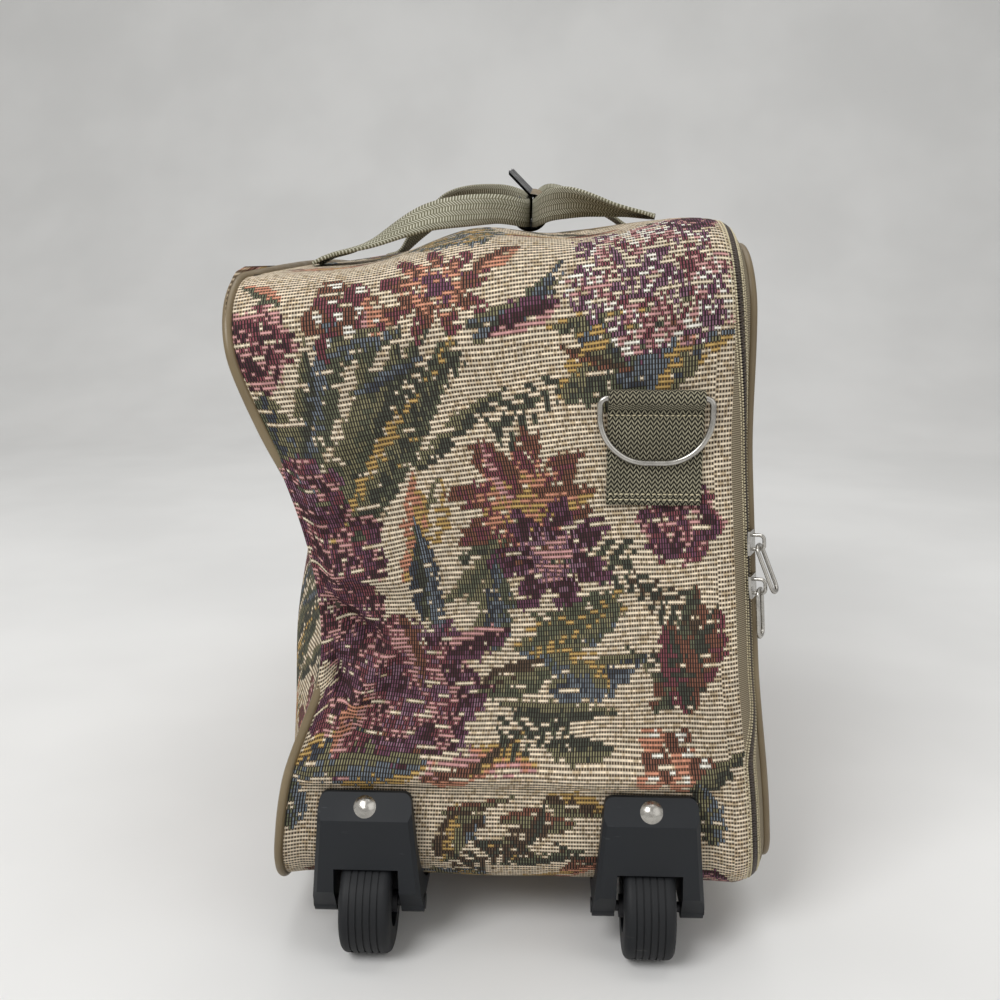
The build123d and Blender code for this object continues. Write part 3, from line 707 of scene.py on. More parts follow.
@dataclass(frozen=True)
class PhotoView:
    """The photograph's camera, in millimetres and pixels of a frame of 1000.

    Attributes:
        focal: Focal length in pixels.
        pitch: Tilt down, in degrees.
        yaw: Turn to the left, in degrees.
        place: Where the camera stands.
    """

    focal: float = 1100.0
    pitch: float = 12.5
    yaw: float = 2.34
    place: tuple[float, float, float] = (19.0, -845.0, 399.0)

    def on_end(self, column: Array, row: Array, end_y: float) -> tuple[Array, Array]:
        """Carry pixels on to the plane of the wheel end.

        Args:
            column: Pixels from the left.
            row: Pixels from the top.
            end_y: Y of the plane.

        Returns:
            X and Z on that plane.
        """
        p, y = math.radians(self.pitch), math.radians(self.yaw)
        right = np.array([math.cos(y), math.sin(y), 0.0])
        ahead = np.array([-math.sin(y) * math.cos(p), math.cos(y) * math.cos(p), -math.sin(p)])
        up = np.cross(right, ahead)
        ray = self.focal * ahead + np.multiply.outer(np.asarray(column) - 500.0, right)
        ray = ray - np.multiply.outer(np.asarray(row) - 500.0, up)
        reach = (end_y - self.place[1]) / ray[..., 1]
        return self.place[0] + reach * ray[..., 0], self.place[2] + reach * ray[..., 2]


class Figure(Enum):
    """Kinds of figure in the tapestry."""

    ROSE = "rose"
    DAISY = "daisy"
    LEAF = "leaf"
    BLADE = "blade"
    SPRIG = "sprig"
    BERRIES = "berries"


@dataclass(frozen=True)
class Motif:
    """One figure of the tapestry.

    Attributes:
        kind: What it is.
        column: Its middle, or its foot for leaves, in pixels of the photograph from the left.
        row: The same from the top.
        size: Its radius, or its length for leaves, in millimetres.
        angle: Direction in degrees from the right, turning up.
        yarns: Its colours, from the outside or the dark side on.
        bend: Sideways bend of a leaf, as a share of its length.
        count: Petals, leaflets or berries.
    """

    kind: Figure
    column: float
    row: float
    size: float
    angle: float
    yarns: tuple[Yarn, ...]
    bend: float = 0.0
    count: int = 8


@dataclass(frozen=True)
class Swatch:
    """Threads near one figure, seen from it.

    Attributes:
        along: Places along the figure from its foot or middle, in millimetres.
        side: Places to its side.
        rough: Unevenness of about -1 to 1, which breaks up its edges.
        seed: Number of the figure.
    """

    along: Array
    side: Array
    rough: Array
    seed: int


@dataclass
class TapestryPattern:
    """The woven figures, laid out over one repeat of the cloth.

    Attributes:
        view: Camera that the places of the figures were read with.
        repeat: Width and height of the repeat, in millimetres.
        cell: Width and height of one thread cell.
        end_y: Y of the wheel end.
        ragged: Unevenness over which the ground shows through a figure.
        motifs: The figures, in the order in which they are painted.
    """

    view: PhotoView
    repeat: tuple[float, float] = (286.0, 430.0)
    cell: tuple[float, float] = (1.65, 2.6)
    end_y: float = -270.0
    ragged: float = 0.54
    motifs: tuple[Motif, ...] = field(default_factory=lambda: tapestry_motifs())

    def paint(self, x: Array, z: Array) -> Array:
        """Colour threads at places on the cloth.

        Args:
            x: Places across, in millimetres.
            z: Places up, in millimetres.

        Returns:
            Linear colours and, last, 1 where the yarn floats upright, of shape (n, 4).
        """
        threads = np.tile(np.array([*Yarn.CREAM.rgb, 0.0]), (len(x), 1))
        step_x, step_z = np.floor(x / self.cell[0]), np.floor(z / self.cell[1])
        threads[speckle(step_x, step_z, 1.0) < 0.2, :3] = Yarn.SAND.rgb
        dither = speckle(step_x, step_z, 3.0) - 0.5
        wide, high = self.repeat
        for seed, motif in enumerate(self.motifs):
            pixel = np.array(motif.column), np.array(motif.row)
            foot_x, foot_z = self.view.on_end(*pixel, self.end_y)
            du = np.mod(x - foot_x + wide / 2, wide) - wide / 2
            dv = np.mod(z - foot_z + high / 2, high) - high / 2
            near = np.nonzero(du * du + dv * dv < (1.4 * motif.size) ** 2)[0]
            yarn = self._draw(motif, seed, du[near], dv[near], dither[near])
            table = np.array([(*y.rgb, y.floats) for y in motif.yarns])
            vein = ripple(0.35 * du[near], dv[near], 7.0, seed * 0.9 + 0.4) + 0.5 * dither[near]
            drawn = (yarn >= 0) & (vein < self.ragged)
            threads[near[drawn]] = table[np.minimum(yarn[drawn], len(table) - 1)]
        shade = 0.78 + 0.4 * speckle(step_x, step_z, 5.0)
        threads[:, :3] = np.clip(threads[:, :3] * shade[:, None], 0, 1)
        return threads

    def _draw(self, motif: Motif, seed: int, du: Array, dv: Array, dither: Array) -> Array:
        """Choose the yarn of each thread near a figure.

        Args:
            motif: The figure.
            seed: Its number, which seeds its unevenness.
            du: Places across from its foot.
            dv: Places up from its foot.
            dither: Scatter of each thread.

        Returns:
            Index of each thread's yarn, or -1 outside the figure.
        """
        turn = math.radians(motif.angle)
        along = du * math.cos(turn) + dv * math.sin(turn)
        side = dv * math.cos(turn) - du * math.sin(turn)
        swatch = Swatch(along, side, 0.8 * ripple(du, dv, 8.0, seed * 1.7) + 0.9 * dither, seed)
        drawers = {
            Figure.ROSE: self._flower,
            Figure.DAISY: self._flower,
            Figure.BERRIES: self._berries,
        }
        return drawers.get(motif.kind, self._leaf)(motif, swatch).astype(int)

    def _flower(self, motif: Motif, at: Swatch) -> Array:
        """Petals: the radius swells at each petal, and rings of yarn follow the radius."""
        radius = np.hypot(at.along, at.side) / motif.size
        around = np.arctan2(at.side, at.along)
        sharp = 0.55 if motif.kind is Figure.DAISY else 0.22
        petal = np.abs(np.cos(motif.count * around / 2 + at.seed))
        edge = (1 - sharp) + sharp * petal + 0.11 * at.rough
        ring = radius / np.maximum(edge, 0.2)
        layers = len(motif.yarns)
        if motif.kind is Figure.DAISY:
            streak = 0.35 * (petal < 0.45) + 0.24 * at.rough
            index = np.clip(np.floor((1 - ring + streak) * layers), 0, layers - 1)
        else:
            curl = np.cos(motif.count * 0.6 * around + 9 * radius + at.seed)
            fold = 0.16 * curl + 0.17 * at.rough
            index = np.floor(np.mod((1 - ring + fold) * (layers + 1.5), layers))
        return np.where(ring < 1, index, -1)

    def _leaf(self, motif: Motif, at: Swatch) -> Array:
        """A leaf: its half width swells between foot and tip about a bent middle line."""
        share = np.clip(at.along / motif.size, 0, 1)
        inside = (at.along > 0) & (at.along < motif.size)
        off = at.side - motif.bend * motif.size * share * share
        if motif.kind is Figure.SPRIG:
            step = motif.size / motif.count
            nearest = np.mod(at.along + 0.55 * np.abs(off), step) - step / 2
            reach = (0.3 - 0.2 * share) * motif.size + 1.2
            leaflet = (np.abs(nearest) < 0.27 * step) & (np.abs(off) < reach)
            inside &= leaflet | (np.abs(off) < 1.1)
            return np.where(inside, np.where(at.rough > 0.25, 1, 0), -1)
        fat = 0.2 if motif.kind is Figure.LEAF else 0.085
        half = fat * motif.size * np.sin(math.pi * share**0.8) ** 0.8 * (1 + 0.32 * at.rough)
        inside &= np.abs(off) < np.maximum(half, 0.9)
        level = np.clip((off / np.maximum(half, 1.0) + 1) / 2 + 0.26 * at.rough, 0, 0.99)
        return np.where(inside, np.floor(level * len(motif.yarns)), -1)

    def _berries(self, motif: Motif, at: Swatch) -> Array:
        """Berries: round spots on a loose spiral, each with a light dot."""
        index = np.full(len(at.along), -1)
        size = motif.size * 0.34
        for k in range(motif.count):
            turn = 2.4 * k + at.seed
            reach = motif.size * math.sqrt((k + 0.4) / motif.count) * 0.85
            along, side = at.along - reach * math.cos(turn), at.side - reach * math.sin(turn)
            index[np.hypot(along, side) < size] = k % 2
            index[np.hypot(along - 0.2 * size, side - 0.3 * size) < max(0.36 * size, 1.5)] = 2
        return index


def tapestry_motifs() -> tuple[Motif, ...]:
    """Figures of one repeat, painted in this order, with the foremost last."""
    f, y = Figure, Yarn
    dark = (y.FOREST, y.GREEN, y.OLIVE)
    leaf = (y.GREEN, y.FOREST, y.OLIVE, y.OCHRE)
    blue = (y.NAVY, y.SLATE, y.SLATE, y.GREEN)
    olive = (y.OLIVE, y.OCHRE, y.GREEN)
    rose = (y.PLUM, y.BURGUNDY, y.PINK, y.WINE, y.MAUVE)
    pale_rose = (y.PLUM, y.WHITE, y.PINK, y.BURGUNDY, y.CREAM, y.MAUVE)
    return (
        Motif(f.BLADE, 310, 470, 100, 76, (y.GREEN, y.SLATE), 0.08),
        Motif(f.BLADE, 385, 480, 90, 60, (y.OLIVE, y.OCHRE, y.GREEN), 0.1),
        Motif(f.BLADE, 415, 470, 66, 48, (y.FOREST, y.OLIVE), -0.1),
        Motif(f.BLADE, 470, 345, 62, 30, (y.OLIVE, y.SLATE), 0.15),
        Motif(f.BLADE, 462, 325, 52, 10, (y.FOREST, y.SLATE, y.OLIVE), 0.2),
        Motif(f.LEAF, 585, 362, 48, 26, (y.SLATE, y.GREEN, y.OLIVE), 0.1),
        Motif(f.LEAF, 640, 350, 50, 4, (y.OCHRE, y.OLIVE, y.SLATE), 0.1),
        Motif(f.LEAF, 598, 398, 44, -6, (y.OLIVE, y.FOREST, y.GREEN), 0.1),
        Motif(f.LEAF, 425, 548, 42, 72, (y.OCHRE, y.CREAM, y.OLIVE), 0.1),
        Motif(f.BLADE, 468, 602, 60, 60, (y.OLIVE, y.GREEN), 0.1),
        Motif(f.BLADE, 455, 560, 46, 20, (y.FOREST, y.GREEN), 0.1),
        Motif(f.LEAF, 515, 645, 64, 10, (y.SLATE, y.GREEN, y.OLIVE, y.OCHRE), 0.15),
        Motif(f.LEAF, 552, 622, 36, -10, (y.GREEN, y.FOREST, y.OLIVE), 0.1),
        Motif(f.LEAF, 478, 692, 54, 18, (y.GREEN, y.OLIVE, y.BROWN), 0.1),
        Motif(f.BLADE, 498, 704, 70, -8, (y.FOREST, y.OLIVE), 0.1),
        Motif(f.LEAF, 690, 655, 40, 82, (y.RUST, y.BROWN, y.GREEN), 0.1),
        Motif(f.LEAF, 702, 684, 46, 76, (y.BURGUNDY, y.RUST, y.FOREST), 0.1),
        Motif(f.BLADE, 648, 650, 42, -40, (y.FOREST, y.BROWN), 0.1),
        Motif(f.LEAF, 355, 748, 46, -14, (y.CORAL, y.PINK, y.RUST), 0.1),
        Motif(f.LEAF, 468, 746, 42, -20, (y.PINK, y.CORAL, y.OCHRE), 0.1),
        Motif(f.LEAF, 400, 748, 42, 200, (y.WINE, y.PLUM, y.PINK), 0.1),
        Motif(f.LEAF, 285, 425, 46, -70, (y.GREEN, y.SLATE, y.NAVY), 0.1),
        # Dark figures over the tray: partly its own dark stems, partly painted shade for the tray
        # lying in shadow under the seam's roll.
        Motif(f.LEAF, 500, 822, 44, -10, (y.BROWN, y.OLIVE, y.RUST), 0.1),
        Motif(f.LEAF, 432, 852, 40, 30, (y.SLATE, y.BROWN, y.OLIVE), 0.1),
        Motif(f.BLADE, 555, 845, 44, -46, (y.BROWN, y.FOREST), 0.1),
        Motif(f.LEAF, 540, 868, 36, 150, (y.OLIVE, y.BROWN, y.OCHRE), 0.1),
        Motif(f.BLADE, 318, 520, 118, 66, dark, -0.12),
        Motif(f.BLADE, 345, 500, 96, 72, (y.GREEN, y.OLIVE), 0.16),
        Motif(f.BLADE, 330, 545, 130, 52, leaf, 0.1),
        Motif(f.BLADE, 300, 455, 62, 80, dark, 0.1),
        Motif(f.BLADE, 372, 430, 56, 64, (y.FOREST, y.OLIVE), 0.18),
        Motif(f.BLADE, 352, 395, 44, 34, blue, -0.1),
        Motif(f.SPRIG, 395, 405, 44, 32, (y.FOREST, y.GREEN), 0.1, 6),
        Motif(f.SPRIG, 492, 432, 46, 38, (y.FOREST, y.GREEN), -0.05, 6),
        Motif(f.SPRIG, 632, 566, 48, 168, (y.FOREST, y.GREEN), 0.1, 6),
        Motif(f.SPRIG, 690, 620, 42, 140, (y.FOREST, y.BROWN), 0.1, 6),
        Motif(f.BLADE, 500, 335, 52, 42, blue, 0.2),
        Motif(f.BLADE, 545, 330, 60, 10, leaf, 0.18),
        Motif(f.LEAF, 575, 335, 70, 8, (y.NAVY, y.SLATE, y.OLIVE), 0.1),
        Motif(f.LEAF, 560, 400, 78, 40, leaf, 0.05),
        Motif(f.LEAF, 615, 380, 62, 20, blue, 0.2),
        Motif(f.LEAF, 655, 405, 55, 70, (y.OLIVE, y.OCHRE, y.SLATE), -0.1),
        Motif(f.BLADE, 560, 345, 40, -30, (y.RUST, y.BROWN), 0.2),
        Motif(f.LEAF, 700, 345, 42, 130, (y.CORAL, y.RUST, y.PINK), 0.1),
        Motif(f.ROSE, 655, 268, 47, 20, pale_rose, 0, 6),
        Motif(f.LEAF, 560, 300, 42, 200, (y.PLUM, y.WINE, y.PINK), 0.1),
        Motif(f.DAISY, 432, 282, 31, 0, (y.BURGUNDY, y.RUST, y.CORAL, y.PLUM), 0, 9),
        Motif(f.LEAF, 470, 262, 32, 30, (y.CORAL, y.RUST), 0.1),
        Motif(f.BERRIES, 340, 312, 23, 0, (y.BURGUNDY, y.RUST, y.WHITE), 0, 9),
        Motif(f.LEAF, 360, 290, 25, -50, (y.CORAL, y.RUST), 0.1),
        Motif(f.LEAF, 372, 350, 22, 95, (y.CORAL, y.PINK), 0.1),
        Motif(f.LEAF, 325, 355, 42, 12, (y.GREEN, y.SLATE, y.OLIVE), 0.12),
        Motif(f.ROSE, 252, 348, 25, 40, (y.PINK, y.BURGUNDY, y.WINE), 0, 5),
        Motif(f.LEAF, 262, 392, 50, -78, (y.GREEN, y.NAVY, y.OLIVE), 0.1),
        Motif(f.LEAF, 275, 300, 30, 140, (y.CORAL, y.GREEN), 0.1),
        Motif(f.ROSE, 305, 488, 24, 0, rose, 0, 6),
        Motif(f.ROSE, 336, 545, 30, 30, (y.WINE, y.PLUM, y.BURGUNDY, y.PINK), 0, 7),
        Motif(f.LEAF, 405, 575, 60, 80, (y.OCHRE, y.CORAL, y.CREAM), 0.1),
        Motif(f.BLADE, 440, 640, 74, 96, blue, 0.08),
        Motif(f.BLADE, 425, 620, 50, 100, (y.FOREST, y.NAVY), -0.1),
        Motif(f.BLADE, 445, 600, 60, 40, (y.GREEN, y.OLIVE), 0.15),
        Motif(f.DAISY, 520, 500, 40, 12, (y.RUST, y.BURGUNDY, y.CORAL, y.OCHRE), 0, 8),
        Motif(f.LEAF, 520, 500, 42, 4, (y.OCHRE, y.CORAL, y.RUST), 0.05),
        Motif(f.LEAF, 520, 500, 38, 120, (y.RUST, y.BURGUNDY, y.PINK), 0.05),
        Motif(f.DAISY, 553, 556, 34, 0, (y.PLUM, y.WINE, y.MAUVE, y.PINK), 0, 7),
        Motif(f.LEAF, 492, 650, 52, 82, (y.GREEN, y.SLATE, y.NAVY, y.OLIVE), 0.1),
        Motif(f.LEAF, 530, 650, 62, 26, olive, 0.18),
        Motif(f.LEAF, 548, 690, 58, 10, (y.SLATE, y.NAVY, y.OLIVE), 0.2),
        Motif(f.LEAF, 610, 690, 50, 140, (y.OCHRE, y.OLIVE, y.SLATE), 0.15),
        Motif(f.SPRIG, 540, 640, 50, 20, (y.GREEN, y.OLIVE), 0.1, 7),
        Motif(f.ROSE, 338, 622, 34, 0, (y.WINE, y.BURGUNDY, y.PLUM, y.PINK), 0, 6),
        Motif(f.LEAF, 312, 742, 62, 44, (y.PINK, y.BURGUNDY, y.PLUM), 0.1),
        Motif(f.LEAF, 290, 770, 50, 20, (y.SLATE, y.OLIVE, y.NAVY, y.OCHRE), 0.1),
        Motif(f.ROSE, 408, 690, 46, 10, (y.PLUM, y.WINE, y.PINK, y.BURGUNDY, y.MAUVE), 0, 7),
        Motif(f.LEAF, 395, 610, 50, -80, (y.BURGUNDY, y.PINK, y.RUST), 0.1),
        Motif(f.LEAF, 445, 655, 42, 20, (y.PLUM, y.WINE, y.PINK), 0.1),
        Motif(f.LEAF, 335, 760, 45, 50, (y.BURGUNDY, y.PINK, y.CORAL), 0.1),
        Motif(f.LEAF, 330, 775, 58, 4, (y.OCHRE, y.SLATE, y.OLIVE), 0.1),
        Motif(f.LEAF, 420, 775, 45, 8, (y.CORAL, y.RUST, y.PINK), 0.1),
        Motif(f.BLADE, 470, 770, 44, 34, (y.OCHRE, y.BROWN), 0.1),
        Motif(f.SPRIG, 500, 740, 44, 14, (y.FOREST, y.GREEN), 0.1, 6),
        Motif(f.LEAF, 545, 745, 40, -10, (y.OLIVE, y.FOREST), 0.1),
        Motif(f.ROSE, 680, 522, 24, 0, (y.BURGUNDY, y.PLUM, y.WINE, y.PINK), 0, 6),
        Motif(f.LEAF, 655, 715, 55, 60, (y.FOREST, y.GREEN, y.RUST), 0.1),
        Motif(f.LEAF, 690, 715, 58, 100, (y.RUST, y.FOREST, y.BURGUNDY), 0.1),
        Motif(f.BLADE, 670, 690, 36, 130, dark, 0.1),
        Motif(f.BERRIES, 672, 762, 22, 0, (y.RUST, y.CORAL, y.WHITE), 0, 8),
        Motif(f.LEAF, 690, 790, 38, 30, (y.FOREST, y.OLIVE), 0.1),
        # More dark figures over the tray: partly its own dark stems, partly painted shade for the
        # tray lying in shadow under the seam's roll.
        Motif(f.BLADE, 520, 860, 40, 60, (y.FOREST, y.BROWN), 0.15),
        Motif(f.BLADE, 500, 875, 52, 10, (y.FOREST, y.GREEN), 0.12),
        Motif(f.BLADE, 470, 840, 34, -35, (y.BROWN, y.FOREST), 0.1),
        Motif(f.LEAF, 560, 885, 35, 20, (y.CORAL, y.RUST), 0.1),
        Motif(f.LEAF, 440, 870, 42, 70, (y.OLIVE, y.OCHRE, y.BROWN), 0.1),
        Motif(f.LEAF, 715, 850, 45, 100, (y.SLATE, y.OLIVE, y.FOREST), 0.1),
        Motif(f.LEAF, 290, 830, 38, 80, (y.SLATE, y.GREEN), 0.1),
        Motif(f.BLADE, 440, 815, 44, 8, (y.BROWN, y.OLIVE, y.RUST), 0.1),
        Motif(f.LEAF, 545, 800, 42, -20, (y.OLIVE, y.BROWN, y.OCHRE), 0.1),
        Motif(f.SPRIG, 450, 880, 50, 24, (y.BROWN, y.FOREST), 0.1, 6),
        Motif(f.ROSE, 455, 925, 30, 10, (y.SLATE, y.OLIVE, y.OCHRE, y.GREEN), 0, 6),
        Motif(f.LEAF, 500, 935, 58, 30, (y.CORAL, y.RUST, y.OCHRE), 0.1),
        Motif(f.LEAF, 400, 930, 50, 150, (y.OLIVE, y.SLATE, y.CREAM), 0.1),
        Motif(f.LEAF, 560, 930, 55, 10, (y.BURGUNDY, y.PINK, y.PLUM), 0.1),
        Motif(f.SPRIG, 620, 930, 44, 30, (y.FOREST, y.GREEN), 0.1, 6),
        Motif(f.DAISY, 330, 925, 30, 0, (y.RUST, y.CORAL, y.OCHRE), 0, 7),
        Motif(f.ROSE, 690, 925, 32, 0, (y.PLUM, y.PINK, y.WINE), 0, 6),
    )


@dataclass(frozen=True)
class CaseForm:
    """Main form of the case, in millimetres, as the CAD solids have it.

    Attributes:
        half_length: Half the bag's length.
        ground_gap: Height of its underside.
        left_height: Its height at the left panel.
        right_height: Its height at the zip.
        lean: Lean of the lid, in degrees.
        bottom_corner: Radius of its lower corners.
        top_corner: Radius of its upper corners.
        left_top_x: X of the left panel at its top.
        left_foot_x: X of the left panel at its foot.
        zip_foot_x: X where the zip's edge starts at its foot.
        edge_radius: Radius of the rounded edge that carries the zip.
        seam_rise: Height of the seam over the underside.
        crown: Rise of the top in its middle.
        wheel_x: Distance of each wheel from the middle.
        axle_y: Y of the axles.
        axle_z: Height of the axles.
        well_radius: Radius of the wheel wells.
        well_half: Half width of the wheel wells.
        far_pinch: How far the left panel is drawn in at the far end.
        bulge: How far it swells along the middle.
        top_splay: How far the zip's edge stands out at the wheel end's top.
        foot_splay: The same at its foot.
    """

    half_length: float = 270.0
    ground_gap: float = 31.0
    left_height: float = 357.0
    right_height: float = 388.0
    lean: float = 4.4
    bottom_corner: float = 38.0
    top_corner: float = 50.0
    left_top_x: float = -145.9
    left_foot_x: float = -137.9
    zip_foot_x: float = 128.5
    edge_radius: float = 20.0
    seam_rise: float = 72.0
    crown: float = 5.0
    wheel_x: float = 81.0
    axle_y: float = -267.0
    axle_z: float = 29.0
    well_radius: float = 34.6
    well_half: float = 23.6
    far_pinch: float = 12.0
    bulge: float = 5.0
    top_splay: float = 5.0
    foot_splay: float = 4.0

    @property
    def seam_z(self) -> float:
        """Height of the seam over the tray."""
        return self.ground_gap + self.seam_rise

    def top(self, x: Array) -> Array:
        """Height of the bag's top edge, which rises evenly to the right."""
        back = self.right_height * math.tan(math.radians(self.lean))
        reach = self.zip_foot_x - back - self.left_top_x
        climb = (self.right_height - self.left_height) * (x - self.left_top_x) / reach
        return self.ground_gap + self.left_height + climb

    def splay(self, y: Array, v: Array) -> Array:
        """How far the zipped edge stands out at the wheel end, towards its top and its foot."""
        near = 1 - ease(-self.half_length, -self.half_length / 3, y)
        high, low = ease(255, 350, v), 1 - ease(50, 150, v)
        return near * (self.top_splay * high + self.foot_splay * low)

    def right_edge(self, y: Array, z: Array) -> Array:
        """X where the tapestry reaches the rounded edge, on the leaning plane of the lid."""
        v = z - self.ground_gap
        return self.zip_foot_x - v * math.tan(math.radians(self.lean)) + self.splay(y, v)

    def left_edge(self, y: Array, z: Array) -> Array:
        """X of the left panel's face.

        Beside the wheels the edge follows listed knots, where the cloth is drawn in under its
        folds. Along the case it eases to the line between foot and top, swelled or drawn in by a
        tent. The fold at the pinch reaches furthest along.

        Args:
            y: Places along the case.
            z: Heights.

        Returns:
            X of the face.
        """
        rise = np.clip((z - self.ground_gap) / self.left_height, -0.02, 1.04)
        line = self.left_foot_x + (self.left_top_x - self.left_foot_x) * rise
        tent = np.sin(math.pi * np.clip(rise, 0, 1))
        drawn = ease(self.half_length / 2, self.half_length, y)
        far = (self.far_pinch + self.bulge) * drawn - self.bulge
        knots = np.array([
            (20, -136), (60, -134), (96, -130), (120, -123), (145, -112), (170, -105), (205, -103),
            (240, -108), (275, -118), (310, -132), (335, -143), (360, -150), (400, -152.0),
        ])
        fine = np.linspace(20, 400, 191)
        edge = np.pad(np.interp(fine, knots[:, 0], knots[:, 1]), 9, mode="edge")
        smooth = np.convolve(edge, np.ones(19) / 19, "valid")
        fade = 135 + 95 * np.exp(-(((z - 224) / 42) ** 2))
        near = 1 - ease(0, 1, (y + self.half_length) / fade)
        return line + far * tent + near * (np.interp(z, fine, smooth) - line - far * tent)

    def in_well(self, points: Array) -> Array:
        """Whether points lie in the wells that the wheel housings sink into the tray."""
        beside = np.abs(np.abs(points[..., 0]) - self.wheel_x) < self.well_half
        gap = np.hypot(points[..., 1] - self.axle_y, points[..., 2] - self.axle_z)
        return beside & (gap < self.well_radius)

    def side_reach(self, z: Array, top: float, inset: float) -> Array:
        """Half length of the bag at a height, drawn in at its rounded corners.

        Args:
            z: Heights.
            top: Height of the top edge.
            inset: Distance inside the outline.

        Returns:
            Distance from the middle to the end.
        """
        low_round, high_round = self.bottom_corner - inset, self.top_corner - inset
        low = np.clip(self.ground_gap + self.bottom_corner - z, 0, low_round)
        high = np.clip(z - top + self.top_corner, 0, high_round)
        below = low_round - np.sqrt(low_round**2 - low**2)
        above = high_round - np.sqrt(high_round**2 - high**2)
        return self.half_length - inset - below - above

    def lid_point(self, y: Array, v: Array, w: Array) -> Array:
        """Place on the lid's leaning plane.

        Args:
            y: Along the case.
            v: Up the plane from the bag's underside.
            w: Out from the plane.

        Returns:
            Points, with the three numbers last.
        """
        a = math.radians(self.lean)
        x = self.zip_foot_x - v * math.sin(a) + w * math.cos(a) + self.splay(y, v)
        z = self.ground_gap + v * math.cos(a) + w * math.sin(a)
        return stacked(x, y, z)

    def edge_point(self, rim: Array, out: Array, degrees: Array, lift: Array) -> Array:
        """Place on the rounded edge, which turns from the ends and the top to the lid.

        Args:
            rim: Rim points (y, v).
            out: Outward directions of the rim.
            degrees: Angles over the edge.
            lift: Distances off the edge.

        Returns:
            Points, with the three numbers last.
        """
        turn = np.radians(degrees)
        reach = (self.edge_radius + lift) * np.cos(turn) - self.edge_radius
        y = rim[..., 0] + reach * out[..., 0]
        v = rim[..., 1] + reach * out[..., 1]
        return self.lid_point(y, v, (self.edge_radius + lift) * np.sin(turn))

    def outline(self, foot: float, top: float, crown: float) -> list[Array]:
        """Stretches of the bag's outline, round from the middle of its underside.

        Args:
            foot: Height of the underside.
            top: Height of the top at its corners.
            crown: Rise of the top in its middle.

        Returns:
            Points of each stretch, as places along the case and heights.
        """
        low, high = self.bottom_corner, self.top_corner
        quarter = np.linspace(0, math.pi / 2, 40)
        y0, y1 = self.half_length - low, self.half_length - high
        flat = np.linspace(-1, 1, 81)
        return [
            np.column_stack([np.linspace(0, y0, 40), np.full(40, foot)]),
            np.column_stack([y0 + low * np.sin(quarter), foot + low - low * np.cos(quarter)]),
            np.column_stack([y1 + high * np.cos(quarter), top - high + high * np.sin(quarter)]),
            np.column_stack([-y1 * flat, top + crown * (1 - flat**2)]),
            np.column_stack([-y1 - high * np.sin(quarter), top - high + high * np.cos(quarter)]),
            np.column_stack([-y0 - low * np.cos(quarter), foot + low - low * np.sin(quarter)]),
            np.column_stack([np.linspace(-y0, 0, 40), np.full(40, foot)]),
        ]

    def rim(self, count: int, inset: float = 0.0) -> tuple[Array, Array, Array]:
        """Outline of the bag on the lid's plane, at even steps.

        Args:
            count: Number of points.
            inset: How far inside the outline.

        Returns:
            Points (y, v), outward directions, and the distance along to each.
        """
        height = self.right_height / math.cos(math.radians(self.lean))
        points, at = even_steps(self.outline(0.0, height, 4.0), count)
        way = unit(np.roll(points, -1, axis=0) - np.roll(points, 1, axis=0))
        out = np.column_stack([way[:, 1], -way[:, 0]])
        return points - inset * out, out, at


